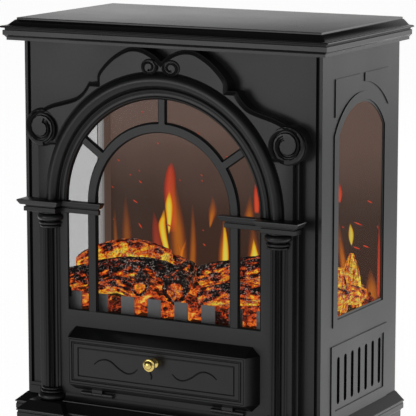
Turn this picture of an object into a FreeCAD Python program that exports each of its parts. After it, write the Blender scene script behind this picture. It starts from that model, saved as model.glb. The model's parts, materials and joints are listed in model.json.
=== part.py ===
import FreeCAD, Part
import math
import os

Vec = FreeCAD.Vector

# Electric fireplace stove, millimetres. X to the right, Y to the back, Z up from the floor.
# While it is drawn, Y is 0 at the front edge of the top surface; the last step moves the
# whole stove so that the origin is the middle of its footprint.

# overall
overall_height = 600.0
body_width = 393.2
body_depth = 211.8
body_front = 11.2
base_height = 143.0
slab_height = 26.4
top_overhang = 3.4
sheet = 1.2
run_gap = 0.05
loose_gap = 0.3

body_half = body_width / 2
body_back = body_front + body_depth
body_top = overall_height - slab_height
top_half = body_half + top_overhang
panel_top = body_top
panel_bottom = base_height

# cast facade
facade_face = -6.0
facade_skin = 3.0
facade_half = 172.6
facade_edge_step = 4.0
facade_edge_depth = 8.0
facade_edge_top = 448.0
facade_pocket_half = 166.0
facade_pocket_bottom = 150.0
facade_pocket_top = 446.0
ornament_height = 4.0
ornament_width = 7.0
ornament_inset = 1.0
ornament_points = 260
volute_x = 162.0
volute_z = 472.0
volute_radius = 22.0
crest_z = 557.0

# arched window
window_half = 128.5
window_bottom = 255.0
window_spring = 386.5
ring_width = 11.0
ring_height = 3.0
torus_mid = 149.0
torus_radius = 8.0
muntin_outer = 99.5
muntin_inner = 89.5
muntin_gap = 0.1
spoke_width = 8.5
spoke_angles = (35.0, 90.0, 145.0)
glass = 3.0
glass_lap = 4.0
glass_room = 5.0

# side window, spandrels and vents
side_centre = 117.0
side_window_half = 61.0
side_window_bottom = 267.0
side_window_spring = 477.0
side_window_apex = 510.0
band_half = 75.0
band_bottom = 256.0
band_spring = 478.5
band_apex = 522.0
emboss = 1.2
spandrel_front = 43.5
spandrel_inner = 110.6
spandrel_bottom = 498.0
spandrel_top = 543.3
spandrel_arc = 96.5
spandrel_arc_z = 437.0
vent_frame_half = 78.2
vent_frame_top = 234.0
vent_recess_half = 68.3
vent_recess_bottom = 156.3
vent_recess_top = 223.4
vent_count = 7
vent_pitch = 19.25
vent_width = 7.4
vent_low = 163.0
vent_high = 219.0

# columns and cornices
column_x = 151.3
shaft_radius = 10.75
flute_count = 16
flute_radius = 1.6
cornice_top = 387.0
cornice_height = 14.5
cornice_outer_mid = 157.7
cornice_outer_half = 20.0
cornice_front = -20.5
cornice_reach = 8.0
cornice_inner_end = 83.9
cornice_inner_front = -9.0

# control flap and its hinge
flap_face = -25.0
flap_half = 118.0
flap_bottom = 169.0
flap_top = 225.5
flap_flare = 10.0
flap_wall = 2.5
flap_seat = 0.4
groove_depth = 0.9
groove_width = 1.4
hinge_z = 155.5
hinge_radius = 2.5
hinge_pin_radius = 1.2
hinge_in = 66.2
hinge_out = 108.9
hinge_knuckle = 14.0
knob_radius = 7.8
knob_z = 207.5
knob_stem = 4.0
recess_half = 110.0
recess_bottom = 174.0
recess_top = 221.0

# controls behind the flap
control_plate = 2.0
control_z = 197.0
rocker_xs = (-84.0, -48.0, -12.0)
rocker_half_width = 5.7
rocker_tilt = 7.0
rocker_pin_radius = 1.0
housing_half_width = 8.0
housing_half_height = 11.0
housing_depth = 18.0
bezel_lip = 1.5
thermostat_x = 38.0
thermostat_radius = 14.0
dimmer_x = 82.0
dimmer_radius = 10.0
dial_height = 12.0
dial_shaft_radius = 3.0

# inside the firebox
tray_z = 250.0
screen_y = 201.0
screen_thickness = 2.0
bed_half = 186.0
fret_y = 6.0
fret_top = 275.3
fret_foot = 240.0
fret_gap_bottom = 253.0
merlon_width = 18.0
merlon_pitch = 36.0
merlon_count = 8
spindle_y = 212.0
spindle_z = 263.0
spindle_half = 160.0
spindle_radius = 2.0
paddle_radius = 6.5
spindle_motor_radius = 8.0

# heater
pan_z = 40.0
duct_half = 99.0
duct_bottom = 53.0
duct_top = 103.0
duct_front = -14.0
duct_back = 92.0
blower_y = 124.0
blower_z = 78.0
wheel_radius = 24.0
wheel_half = 86.0
blade_count = 24
blower_gap = 3.0
blower_shaft_radius = 2.5
blower_motor_radius = 22.0
outlet_half = 100.0
outlet_bottom = 52.0
outlet_top = 104.0
louvre_count = 5
switch_x = -60.0
switch_y = 190.0
plunger_radius = 3.0
gland_x = -150.0
gland_z = 165.0
gland_radius = 5.0

# plinth and feet
skirt_wall = 2.5
skirt_bottom = 24.0
pedestal_half = 21.0
pedestal_front = -24.6
middle_front = -14.6
middle_half = 125.0
foot_size = 48.0
foot_curve = 18.0
screw_shank = 1.75
screw_head = 3.5
screw_head_height = 1.0


def box(x0, x1, y0, y1, z0, z1):
    return Part.makeBox(x1 - x0, y1 - y0, z1 - z0, Vec(x0, y0, z0))


def join(shapes):
    if len(shapes) == 1:
        return shapes[0]
    return shapes[0].fuse(shapes[1:]).removeSplitter()


def mirrored(shape):
    return shape.mirror(Vec(0, 0, 0), Vec(1, 0, 0))


def both_sides(shape):
    return [shape, mirrored(shape)]


def rod(radius, start, end):
    start, end = Vec(*start), Vec(*end)
    run = end - start
    return Part.makeCylinder(radius, run.Length, start, run)


def arch(along, middle, half, bottom, spring, apex, near, far):
    """Arched prism: its outline is drawn across the axis named in along."""
    def place(u, z):
        return Vec(u, near, z) if along == "y" else Vec(near, u, z)

    low_a, low_b = place(middle - half, bottom), place(middle + half, bottom)
    high_a, high_b = place(middle - half, spring), place(middle + half, spring)
    edges = [Part.makeLine(low_a, low_b), Part.makeLine(low_b, high_b),
             Part.Arc(high_b, place(middle, apex), high_a).toShape(), Part.makeLine(high_a, low_a)]
    way = Vec(0, far - near, 0) if along == "y" else Vec(far - near, 0, 0)
    return Part.Face(Part.Wire(edges)).extrude(way)


def grown_rect(x0, x1, front, back, grow, z):
    corners = [Vec(x0 - grow, front - grow, z), Vec(x1 + grow, front - grow, z),
               Vec(x1 + grow, back, z), Vec(x0 - grow, back, z)]
    return Part.makePolygon(corners + corners[:1])


def moulding(profile, top_z, x0, x1, front, back):
    """Stack of tiers. The profile gives (drop below top_z, outward reach) on three sides."""
    tiers = []
    for (drop_a, reach_a), (drop_b, reach_b) in zip(profile, profile[1:]):
        if drop_b > drop_a:
            upper = grown_rect(x0, x1, front, back, reach_a, top_z - drop_a)
            lower = grown_rect(x0, x1, front, back, reach_b, top_z - drop_b)
            tiers.append(Part.makeLoft([lower, upper], True, True))
    return join(tiers)


# ---- top and casing ----

slab_profile = [(0, 0), (3, 0), (3, 2.5), (3.8, 2.5), (9.5, 8.5), (10, 8.5), (10, 12), (11.6, 14.6),
                (13, 15), (20, 15), (21.6, 14.4), (23.4, 11), (23.4, 9), (26.4, 9)]
plinth_profile = [(0, 3.4), (7.6, 6.4), (8.4, 6.4), (12, 12.5), (19.7, 12.5), (20.5, 11.5), (23.7, 8.2)]
cornice_profile = [(0, 1), (3, 1), (9.5, 0.15), (10.5, 0), (14.5, 0)]


def make_top_slab():
    scale = slab_height / slab_profile[-1][0]
    profile = [(drop * scale, reach) for drop, reach in slab_profile]
    slab = moulding(profile, overall_height, -top_half, top_half, 0, body_back + 0.7)
    pocket = box(-body_half + 6, body_half - 6, body_front + 6, body_back - 4,
                 body_top, overall_height - 4)
    return slab.cut(pocket)


def make_front_panel():
    half = body_half - 8.1
    face = box(-half, half, body_front, body_front + sheet, panel_bottom, panel_top)
    fold = box(half - sheet, half, body_front + sheet, body_front + 4.8, panel_bottom, panel_top)
    opening = window_half + glass_lap + glass_room
    window = arch("y", 0, opening, window_bottom - 2, window_spring, window_spring + opening,
                  body_front - 1, body_front + 3)
    recess = box(-recess_half, recess_half, body_front - 1, body_front + 3, recess_bottom, recess_top)
    return join([face] + both_sides(fold)).cut([window, recess])


def side_band():
    outer = arch("x", side_centre, band_half, band_bottom, band_spring, band_apex,
                 body_half - 0.1, body_half + emboss)
    inner = arch("x", side_centre, side_window_half + 3, side_window_bottom - 3, side_window_spring,
                 side_window_apex + 3, body_half - 1, body_half + 2)
    return outer.cut(inner)


def side_spandrels():
    front = box(body_half - 0.1, body_half + emboss, spandrel_front, spandrel_inner,
                spandrel_bottom, spandrel_top)
    arc = rod(spandrel_arc, (body_half - 1, side_centre, spandrel_arc_z),
              (body_half + 3, side_centre, spandrel_arc_z))
    front = front.cut(arc)
    back = front.mirror(Vec(0, side_centre, 0), Vec(0, 1, 0))
    return [front, back]


def vent_frame():
    outer = box(body_half - 0.1, body_half + emboss, side_centre - vent_frame_half,
                side_centre + vent_frame_half, panel_bottom, vent_frame_top)
    inner = box(body_half - 1, body_half + 2, side_centre - vent_recess_half,
                side_centre + vent_recess_half, vent_recess_bottom, vent_recess_top)
    return outer.cut(inner)


def vent_slots():
    radius = vent_width / 2
    slots = []
    for i in range(vent_count):
        y = side_centre + (i - (vent_count - 1) / 2) * vent_pitch
        x0, x1 = body_half - 3, body_half + 3
        slots += [box(x0, x1, y - radius, y + radius, vent_low + radius, vent_high - radius),
                  rod(radius, (x0, y, vent_low + radius), (x1, y, vent_low + radius)),
                  rod(radius, (x0, y, vent_high - radius), (x1, y, vent_high - radius))]
    return slots


def make_right_side_panel():
    inner = body_half - sheet
    back_flange = body_back - 2 * sheet
    pieces = [box(inner, body_half, body_front, body_back, panel_bottom, panel_top),
              box(body_half - 4, body_half, body_front, body_front + sheet, panel_bottom, panel_top),
              box(body_half - 4, body_half - 4 + sheet, body_front, body_front + 6, panel_bottom, panel_top),
              box(body_half - 18.6, body_half - 4, body_front + 4.8, body_front + 6,
                  panel_bottom, panel_top),
              box(body_half - 15.6, body_half, back_flange, back_flange + sheet, panel_bottom, panel_top),
              side_band(), vent_frame()] + side_spandrels()
    window = arch("x", side_centre, side_window_half, side_window_bottom, side_window_spring,
                  side_window_apex, inner - 2, body_half + 3)
    screw_holes = [rod(screw_shank + run_gap, (x, back_flange - 1, z), (x, back_flange + 3, z))
                   for x, z in rear_screw_spots() if x > 0]
    return join(pieces).cut([window] + vent_slots() + screw_holes)


def rear_screw_spots():
    x = body_half - 10
    heights = [panel_bottom + 14 + i * (panel_top - panel_bottom - 28) / 4 for i in range(5)]
    return [(side * x, z) for side in (-1, 1) for z in heights]


def make_rear_panel():
    face = body_back - sheet
    panel = box(-body_half + sheet, body_half - sheet, face, body_back, panel_bottom, panel_top)
    cuts = [rod(gland_radius + run_gap, (gland_x, face - 1, gland_z), (gland_x, body_back + 1, gland_z))]
    for x, z in rear_screw_spots():
        cuts.append(rod(screw_shank + run_gap, (x, face - 1, z), (x, body_back + 1, z)))
    for i in range(14):
        x = -78 + i * 12
        cuts.append(box(x - 1.8, x + 1.8, face - 1, body_back + 1, 168, 208))
    return panel.cut(cuts)


def make_rear_screws():
    depth = 6.0
    return Part.makeCompound([
        join([rod(screw_head, (x, body_back, z), (x, body_back + screw_head_height, z)),
              rod(screw_shank, (x, body_back - depth, z), (x, body_back, z))])
        for x, z in rear_screw_spots()])


# ---- plinth, skirt and feet ----

def plinth_blocks(profile, top_z):
    body = moulding(profile, top_z, -body_half, body_half, body_front, body_back)
    middle = moulding(profile, top_z, -middle_half, middle_half, middle_front, body_front + 4)
    pedestal = moulding(profile, top_z, column_x - pedestal_half, column_x + pedestal_half,
                        pedestal_front, body_front + 4)
    return [body, middle] + both_sides(pedestal)


def plinth_plan(reach, back, z0, z1):
    flat = [(0, reach), (z1 - z0, reach)]
    blocks = plinth_blocks(flat, z1)
    plan = join(blocks)
    return plan.common(box(-2 * body_half, 2 * body_half, -body_half, back, z0, z1))


def make_plinth_moulding():
    ring = join(plinth_blocks(plinth_profile, base_height))
    drop = plinth_profile[-1][0]
    floor = base_height - drop
    pocket = box(-body_half + 6, body_half - 6, body_front + 8, body_back - 6, floor, base_height)
    front_pocket = box(-middle_half - 4, middle_half + 4, middle_front + 2, body_front + 8,
                       floor, base_height - 5)
    pedestal_pocket = box(column_x - pedestal_half + 1, column_x + pedestal_half - 1,
                          pedestal_front + 2, body_front + 8, floor, base_height - 5)
    return ring.cut([pocket, front_pocket] + both_sides(pedestal_pocket))


skirt_reach = plinth_profile[-1][1]
skirt_top = base_height - plinth_profile[-1][0]


def make_plinth_skirt():
    outer = plinth_plan(skirt_reach, body_back, skirt_bottom, skirt_top)
    inner = plinth_plan(skirt_reach - skirt_wall, body_back - skirt_wall, skirt_bottom, skirt_top)
    front = middle_front - skirt_reach - 5
    outlet = box(-outlet_half, outlet_half, front, front + 12, outlet_bottom, outlet_top)
    apron = arch("y", 0, 88, skirt_bottom - 1, skirt_bottom + 2, pan_z - 4, front, front + 12)
    side_apron = arch("x", side_centre, 68, skirt_bottom - 1, skirt_bottom + 2, pan_z - 4,
                      body_half, body_half + 12)
    return outer.cut(inner).cut([outlet, apron] + both_sides(side_apron))


def make_base_pan():
    gap = skirt_reach - skirt_wall
    pan = plinth_plan(gap, body_back - skirt_wall, pan_z, pan_z + sheet)
    hole = rod(plunger_radius + 1, (switch_x, switch_y, pan_z - 1), (switch_x, switch_y, pan_z + 3))
    return pan.cut(hole)


def make_foot(front):
    """Bracket foot under a corner of the skirt, with a block that reaches up to the pan."""
    reach = body_half + skirt_reach
    x1 = reach - 1.0
    x0 = x1 - foot_size
    if front:
        x0 = column_x - foot_size / 2
        x1 = column_x + foot_size / 2
        y0 = pedestal_front - skirt_reach + 1.0
    else:
        y0 = body_back - 1.0 - foot_size
    y1 = y0 + foot_size
    foot = box(x0, x1, y0, y1, 0, skirt_bottom)
    curve_z = skirt_bottom - foot_curve - 6
    inner_y = y1 if front else y0
    curves = [rod(foot_curve, (x0, y0 - 1, curve_z), (x0, y1 + 1, curve_z)),
              rod(foot_curve, (x0 - 1, inner_y, curve_z), (x1 + 1, inner_y, curve_z))]
    mid_x, mid_y = (x0 + x1) / 2, (y0 + y1) / 2
    core = 12.0
    block = box(mid_x - core, mid_x + core, mid_y - core, mid_y + core, skirt_bottom - 1, pan_z)
    return join([foot.cut(curves), block])


# ---- facade ----

def facade_outline():
    """Right half of the outline, from the bottom middle round to the crest's notch."""
    join_z = volute_z - math.sqrt(volute_radius ** 2 - (facade_half - volute_x) ** 2)
    low = Vec(0, 0, panel_bottom)
    corner = Vec(facade_half, 0, panel_bottom)
    neck = Vec(facade_half, 0, join_z)
    out = Vec(volute_x + volute_radius, 0, volute_z)
    over = Vec(volute_x, 0, volute_z + volute_radius)
    step_in, step_out = Vec(97, 0, 528.7), Vec(85, 0, 528.7)
    hump_foot = Vec(85, 0, 538)
    notch = Vec(0, 0, crest_z)
    sweep = Part.BSplineCurve()
    sweep.interpolate([over, Vec(145.5, 0, 500.4), Vec(120.5, 0, 507.6), Vec(106.5, 0, 515), step_in])
    hump = Part.BSplineCurve()
    hump.interpolate([hump_foot, Vec(70, 0, 555.2), Vec(52.7, 0, 567.5), Vec(33.6, 0, 572.4),
                      Vec(16, 0, 567.5), notch])
    return [Part.makeLine(low, corner), Part.makeLine(corner, neck), Part.Arc(neck, out, over).toShape(),
            sweep.toShape(), Part.makeLine(step_in, step_out), Part.makeLine(step_out, hump_foot),
            hump.toShape()]


def facade_plane(y):
    right = facade_outline()
    left = [mirrored(edge) for edge in right]
    face = Part.Face(Part.Wire(Part.sortEdges(right + left)[0]))
    face.translate(Vec(0, y, 0))
    return face


def facade_ornament():
    """Raised bead that follows the scrolled upper edge, with a boss at each volute."""
    top = facade_face - ornament_height
    points = facade_plane(top).OuterWire.discretize(Number=ornament_points)
    plane = Part.Face(Part.makePolygon(points[:-1] + points[:1]))
    depth = Vec(0, ornament_height + 1, 0)
    whole = plane.makeOffset2D(-ornament_inset).extrude(depth)
    core = plane.makeOffset2D(-ornament_inset - ornament_width).extrude(depth)
    upper = box(-2 * facade_half, 2 * facade_half, top - 1, facade_face + 2,
                volute_z - volute_radius, body_top)
    bead = whole.cut(core).common(upper)
    boss = rod(7, (volute_x, top, volute_z), (volute_x, facade_face + 1, volute_z))
    small = rod(5, (14.5, top, 549), (14.5, facade_face + 1, 549))
    return [bead] + both_sides(boss) + both_sides(small)


def make_front_facade():
    plane = facade_plane(facade_face).extrude(Vec(0, body_front - facade_face, 0))
    step_half = facade_half + facade_edge_step
    step = box(-step_half, step_half, facade_face + facade_edge_depth, body_front,
               panel_bottom, facade_edge_top)
    plate = join([plane, step] + facade_ornament())
    inside = facade_face + facade_skin
    pocket = box(-facade_pocket_half, facade_pocket_half, inside, body_front + 1,
                 facade_pocket_bottom, facade_pocket_top)
    room = window_half + glass_lap + glass_room
    dome = rod(room, (0, inside, window_spring), (0, body_front + 1, window_spring))
    window = arch("y", 0, window_half, window_bottom, window_spring, window_spring + window_half,
                  facade_face - 8, body_front + 1)
    recess = box(-recess_half, recess_half, facade_face - 1, body_front + 1, recess_bottom, recess_top)
    return plate.cut([pocket, dome, window, recess])


def make_arch_moulding():
    centre = Vec(0, facade_face, window_spring)
    torus = Part.makeTorus(torus_mid, torus_radius, centre, Vec(0, 1, 0))
    ring = rod(torus_mid - torus_radius + 2, (0, facade_face - ring_height, window_spring),
               (0, facade_face, window_spring))
    hole = rod(window_half, (0, facade_face - 9, window_spring), (0, facade_face + 9, window_spring))
    lip = rod(window_half + ring_width, (0, facade_face - ring_height, window_spring),
              (0, facade_face - ring_height + 1.2, window_spring))
    step = rod(torus_mid - torus_radius + 1, (0, facade_face - ring_height, window_spring),
               (0, facade_face - ring_height + 1.2, window_spring)).cut(lip)
    keep = box(-200, 200, facade_face - 12, facade_face, cornice_top, window_spring + 200)
    return join([torus, ring]).cut([hole, step]).common(keep)


def make_window_muntins():
    front = facade_face - 1
    back = facade_face + facade_skin
    ring = rod(muntin_outer, (0, front, window_spring), (0, back, window_spring))
    ring = ring.cut(rod(muntin_inner, (0, front - 1, window_spring), (0, back + 1, window_spring)))
    ring = ring.common(box(-120, 120, front, back, window_spring, window_spring + 120))
    bar = box(muntin_inner, muntin_outer, front, back, window_bottom, window_spring + 0.5)
    pieces = [ring] + both_sides(bar)
    for angle in spoke_angles:
        spoke = box(muntin_outer - 2, window_half, front, back, -spoke_width / 2, spoke_width / 2)
        spoke.rotate(Vec(0, 0, 0), Vec(0, 1, 0), -angle)
        spoke.translate(Vec(0, 0, window_spring))
        pieces.append(spoke)
    half = window_half - muntin_gap
    inside = arch("y", 0, half, window_bottom, window_spring, window_spring + half, front, back)
    return join(pieces).common(inside)


def make_front_glass():
    back = facade_face + facade_skin
    half = window_half + glass_lap
    return arch("y", 0, half, window_bottom - glass_lap, window_spring, window_spring + half,
                back, back + glass)


def make_glass_clips():
    """Small blocks glued to the back of the facade skin beside the pane, with a lip over it."""
    back = facade_face + facade_skin
    edge = window_half + glass_lap
    spots = [(edge, 275.0), (edge, 380.0)]
    clips = []
    for x, z in spots:
        foot = box(x + loose_gap, x + 12, back, back + glass, z - 6, z + 6)
        lip = box(x - 4, x + 12, back + glass, back + glass + 1.5, z - 6, z + 6)
        clips += both_sides(join([foot, lip]))
    return Part.makeCompound(clips)


def make_side_glass():
    inner = body_half - sheet
    return arch("x", side_centre, side_window_half + glass_lap, side_window_bottom - glass_lap,
                side_window_spring, side_window_apex + glass_lap, inner - glass, inner)


def make_right_entablature():
    def block(x0, x1, front, back, reach):
        profile = [(drop, share * reach) for drop, share in cornice_profile]
        profile[-1] = (cornice_height, 0)
        return moulding(profile, cornice_top, x0, x1, front, back)

    outer = block(cornice_outer_mid - cornice_outer_half, cornice_outer_mid + cornice_outer_half,
                  cornice_front, facade_face, cornice_reach)
    inner = block(cornice_inner_end, cornice_outer_mid, cornice_inner_front, facade_face - 1,
                  cornice_reach - 1)
    return join([outer, inner])


def column_ring(major, minor, z):
    return Part.makeTorus(major, minor, Vec(column_x, facade_face, z), Vec(0, 0, 1))


def column_disc(radius, z0, z1):
    return rod(radius, (column_x, facade_face, z0), (column_x, facade_face, z1))


def make_right_column():
    foot, head = base_height, cornice_top - cornice_height
    shaft = column_disc(shaft_radius, foot, head)
    flutes = []
    for i in range(flute_count):
        turn = 2 * math.pi * (i + 0.5) / flute_count
        x = column_x + (shaft_radius + 0.3) * math.cos(turn)
        y = facade_face + (shaft_radius + 0.3) * math.sin(turn)
        flutes.append(rod(flute_radius, (x, y, foot + 27), (x, y, head - 20)))
    rings = [column_disc(14.5, head - 2.5, head), column_ring(11.7, 4.0, head - 6.5),
             column_ring(10.5, 2.4, head - 13.5), column_disc(12.5, head - 11.5, head - 2),
             column_disc(16.5, foot, foot + 3), column_ring(14, 4.5, foot + 6.5),
             column_ring(12.5, 3.0, foot + 14), column_ring(11, 2.2, foot + 20)]
    column = join([shaft.cut(flutes)] + rings)
    keep = box(column_x - 30, column_x + 30, facade_face - 30, facade_face, foot, head)
    return column.common(keep)


def make_pilaster_blocks():
    x0 = facade_half + facade_edge_step + 1
    block = box(x0, body_half - 4.2, body_front - 4, body_front, base_height, base_height + 9)
    cap = box(x0 - 0.5, body_half - 3.7, body_front - 2.5, body_front, base_height + 9, base_height + 13)
    return Part.makeCompound(both_sides(join([block, cap])))


# ---- control flap ----

def flared_block(half, low, high, front, back, flare):
    """Rectangle in front, an octagon with cut corners behind, flat facets between."""
    cut = flare
    near = [Vec(-half, front, low), Vec(half, front, low), Vec(half, front, high), Vec(-half, front, high)]
    wide = half + flare
    far = []
    for sx, sz in ((-1, -1), (1, -1), (1, 1), (-1, 1)):
        z_out = low - flare if sz < 0 else high + flare
        side_point = Vec(sx * wide, back, z_out - sz * cut)
        edge_point = Vec(sx * (wide - cut), back, z_out)
        far.append((side_point, edge_point))
    faces = [near]
    outline = []
    for i in range(4):
        first, second = far[i] if i % 2 == 0 else far[i][::-1]
        outline += [first, second]
        faces.append([near[i], first, second])
    for i in range(4):
        j = (i + 1) % 4
        faces.append([near[i], near[j], outline[(2 * i + 2) % 8], outline[2 * i + 1]])
    faces.append(outline)
    shells = [Part.Face(Part.makePolygon(loop + loop[:1])) for loop in faces]
    solid = Part.Solid(Part.Shell(shells))
    if solid.Volume < 0:
        solid.reverse()
    return solid


def groove_frame(inset_x, inset_z):
    outer = box(-flap_half + inset_x, flap_half - inset_x, flap_face - 1, flap_face + groove_depth,
                flap_bottom + inset_z, flap_top - inset_z)
    w = groove_width
    inner = box(-flap_half + inset_x + w, flap_half - inset_x - w, flap_face - 2, flap_face + 2,
                flap_bottom + inset_z + w, flap_top - inset_z - w)
    return outer.cut(inner)


def hinge_y():
    return facade_face - hinge_radius - loose_gap


def make_control_flap():
    back = facade_face - flap_seat
    outer = flared_block(flap_half, flap_bottom, flap_top, flap_face, back, flap_flare)
    w = flap_wall
    inner = flared_block(flap_half - w, flap_bottom + w, flap_top - w, flap_face + w, back + 0.01,
                         flap_flare - 0.5)
    flap = outer.cut(inner).cut([groove_frame(4.5, 4.5), groove_frame(13.2, 10.7)])
    y = hinge_y()
    x0 = hinge_in + hinge_knuckle + loose_gap
    x1 = hinge_out - hinge_knuckle - loose_gap
    knuckle = rod(hinge_radius, (x0, y, hinge_z), (x1, y, hinge_z))
    web = box(x0, x1, y - 1.4, y + 1.4, hinge_z, flap_bottom - flap_flare + 4)
    bore = rod(hinge_pin_radius + run_gap, (x0 - 1, y, hinge_z), (x1 + 1, y, hinge_z))
    lug = join([knuckle, web.cut(inner)]).cut(bore)
    return join([flap] + both_sides(lug))


def make_flap_hinge_leaves():
    y = hinge_y()
    leaves = []
    for x0 in (hinge_in, hinge_out - hinge_knuckle):
        x1 = x0 + hinge_knuckle
        barrel = rod(hinge_radius, (x0, y, hinge_z), (x1, y, hinge_z))
        tab = box(x0, x1, y, facade_face, hinge_z - hinge_radius, hinge_z + hinge_radius)
        bore = rod(hinge_pin_radius, (x0 - 1, y, hinge_z), (x1 + 1, y, hinge_z))
        leaves += both_sides(join([barrel, tab]).cut(bore))
    return Part.makeCompound(leaves)


def make_flap_hinge_pins():
    y = hinge_y()
    pin = rod(hinge_pin_radius, (hinge_in, y, hinge_z), (hinge_out, y, hinge_z))
    return Part.makeCompound(both_sides(pin))


def make_flap_knob():
    rose = rod(6.5, (0, flap_face - 1.5, knob_z), (0, flap_face, knob_z))
    stem = rod(3.0, (0, flap_face - knob_stem - 3, knob_z), (0, flap_face, knob_z))
    ball = Part.makeSphere(knob_radius, Vec(0, flap_face - knob_stem - knob_radius + 1.0, knob_z))
    return join([rose, stem, ball])


# ---- controls ----

plate_front = body_front + sheet
plate_back = plate_front + control_plate
rocker_y = plate_front - bezel_lip + 4.8


def make_control_panel():
    plate = box(-recess_half - 8, recess_half + 8, plate_front, plate_back, recess_bottom - 8, recess_top + 8)
    cuts = []
    for x in rocker_xs:
        cuts.append(box(x - housing_half_width, x + housing_half_width, plate_front - 1, plate_back + 1,
                        control_z - housing_half_height, control_z + housing_half_height))
    for x in (thermostat_x, dimmer_x):
        cuts.append(rod(dial_shaft_radius + 0.5, (x, plate_front - 1, control_z),
                        (x, plate_back + 1, control_z)))
    return plate.cut(cuts)


def make_switch_housings():
    front = plate_front - bezel_lip
    housings = []
    for x in rocker_xs:
        w, h = housing_half_width, housing_half_height
        bezel = box(x - w - 1.5, x + w + 1.5, front, plate_front, control_z - h - 1.5, control_z + h + 1.5)
        body = box(x - w, x + w, plate_front, plate_front + housing_depth, control_z - h, control_z + h)
        well = box(x - w + 2, x + w - 2, front - 1, plate_front + housing_depth - 3,
                   control_z - h + 2, control_z + h - 2)
        pin = rod(rocker_pin_radius, (x - w + 1, rocker_y, control_z), (x + w - 1, rocker_y, control_z))
        housings.append(join([join([bezel, body]).cut(well), pin]))
    return Part.makeCompound(housings)


def make_rocker(x):
    outline = [(3.0, -8.1), (3.0, 8.1), (-5.9, 6.4), (-4.6, 0), (-5.9, -6.4)]
    points = [Vec(x - rocker_half_width, rocker_y + y, control_z + z) for y, z in outline]
    rocker = Part.Face(Part.makePolygon(points + points[:1])).extrude(Vec(2 * rocker_half_width, 0, 0))
    bore = rod(rocker_pin_radius + run_gap, (x - 9, rocker_y, control_z), (x + 9, rocker_y, control_z))
    rocker = rocker.cut(bore)
    rocker.rotate(Vec(x, rocker_y, control_z), Vec(1, 0, 0), -rocker_tilt)
    return rocker


def make_dial(x, radius):
    back = plate_front - 0.6
    front = back - dial_height
    skirt = rod(radius, (x, back - 4, control_z), (x, back, control_z))
    grip = rod(radius - 2.5, (x, front, control_z), (x, back - 3, control_z))
    pointer = box(x - 0.8, x + 0.8, front - 0.8, front + 2, control_z, control_z + radius - 3)
    shaft = rod(dial_shaft_radius, (x, back - 1, control_z), (x, plate_back + 9, control_z))
    dial = join([skirt, grip, pointer, shaft])
    dial.rotate(Vec(x, 0, control_z), Vec(0, 1, 0), -135)
    return dial


def make_dial_body(x, half, depth):
    body = box(x - half, x + half, plate_back, plate_back + depth, control_z - half, control_z + half)
    bore = rod(dial_shaft_radius + run_gap, (x, plate_back - 1, control_z), (x, plate_back + 10, control_z))
    return body.cut(bore)


# ---- firebox ----

tray_top = tray_z + sheet
tray_front = body_front + 6


def make_firebox_tray():
    half = body_half - sheet
    tray = box(-half, half, tray_front, body_back - 2 * sheet, tray_z, tray_top)
    return tray


def make_flame_screen():
    return box(-body_half + 6, body_half - 6, screen_y, screen_y + screen_thickness, tray_top, panel_top - 2)


def make_ember_bed():
    front, back, deep = 24.0, screen_y - 4, 14.0
    outline = [(front, tray_top), (front, 262), (front + 34, 270), (back, 270), (back, tray_top)]
    points = [Vec(-bed_half, y, z) for y, z in outline]
    bed = Part.Face(Part.makePolygon(points + points[:1])).extrude(Vec(2 * bed_half, 0, 0))
    hollow = box(-bed_half + 6, bed_half - 6, front + 6, back - 6, tray_top, tray_top + deep - 6)
    return bed.cut(hollow)


def log(start, end, radius):
    ends = [Part.makeSphere(radius, Vec(*point)) for point in (start, end)]
    return join([rod(radius, start, end)] + ends)


def make_log_set():
    logs = [log((-158, 118, 292), (-84, 126, 299), 20), log((-150, 78, 280), (-60, 84, 293), 15),
            log((-60, 84, 293), (-30, 74, 284), 14), log((-78, 50, 272), (-74, 84, 282), 10),
            log((-6, 50, 274), (-14, 92, 284), 13), log((0, 92, 296), (70, 112, 300), 13),
            log((40, 74, 284), (150, 92, 292), 15), log((52, 48, 272), (60, 76, 280), 11),
            log((96, 128, 296), (160, 148, 306), 16), log((110, 50, 272), (165, 60, 278), 12)]
    return join(logs).cut(box(-bed_half - 20, bed_half + 20, 0, screen_y, tray_z, 270))


def make_ember_fret():
    half = (merlon_count - 1) / 2 * merlon_pitch + merlon_width / 2
    strip = box(-half, half, fret_y, fret_y + sheet, fret_foot, fret_gap_bottom)
    pieces = [strip]
    for i in range(merlon_count):
        x = (i - (merlon_count - 1) / 2) * merlon_pitch
        pieces.append(box(x - merlon_width / 2, x + merlon_width / 2, fret_y, fret_y + sheet,
                          fret_gap_bottom - 1, fret_top))
    for side in (-1, 1):
        x = side * merlon_pitch * 2.5
        pieces.append(box(x - 5, x + 5, fret_y + sheet, body_front, fret_foot, fret_foot + 6))
    return join(pieces)


def make_flame_spindle():
    end = spindle_half
    shaft = rod(spindle_radius, (-end - 12, spindle_y, spindle_z), (end + 14, spindle_y, spindle_z))
    pieces = [shaft]
    count = 20
    for i in range(count):
        x = -end + 10 + i * (2 * end - 20) / (count - 1)
        paddle = box(x - 5, x + 5, spindle_y - 0.5, spindle_y + 0.5, spindle_z - paddle_radius,
                     spindle_z + paddle_radius)
        paddle.rotate(Vec(x, spindle_y, spindle_z), Vec(1, 0, 0), i * 47)
        pieces.append(paddle)
    return join(pieces)


def make_spindle_brackets():
    brackets = []
    for x in (-spindle_half - 8, spindle_half + 4):
        post = box(x, x + 3, spindle_y - 6, spindle_y + 6, tray_top, spindle_z + 6)
        bore = rod(spindle_radius + run_gap, (x - 1, spindle_y, spindle_z), (x + 4, spindle_y, spindle_z))
        brackets.append(post.cut(bore))
    return Part.makeCompound(brackets)


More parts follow.
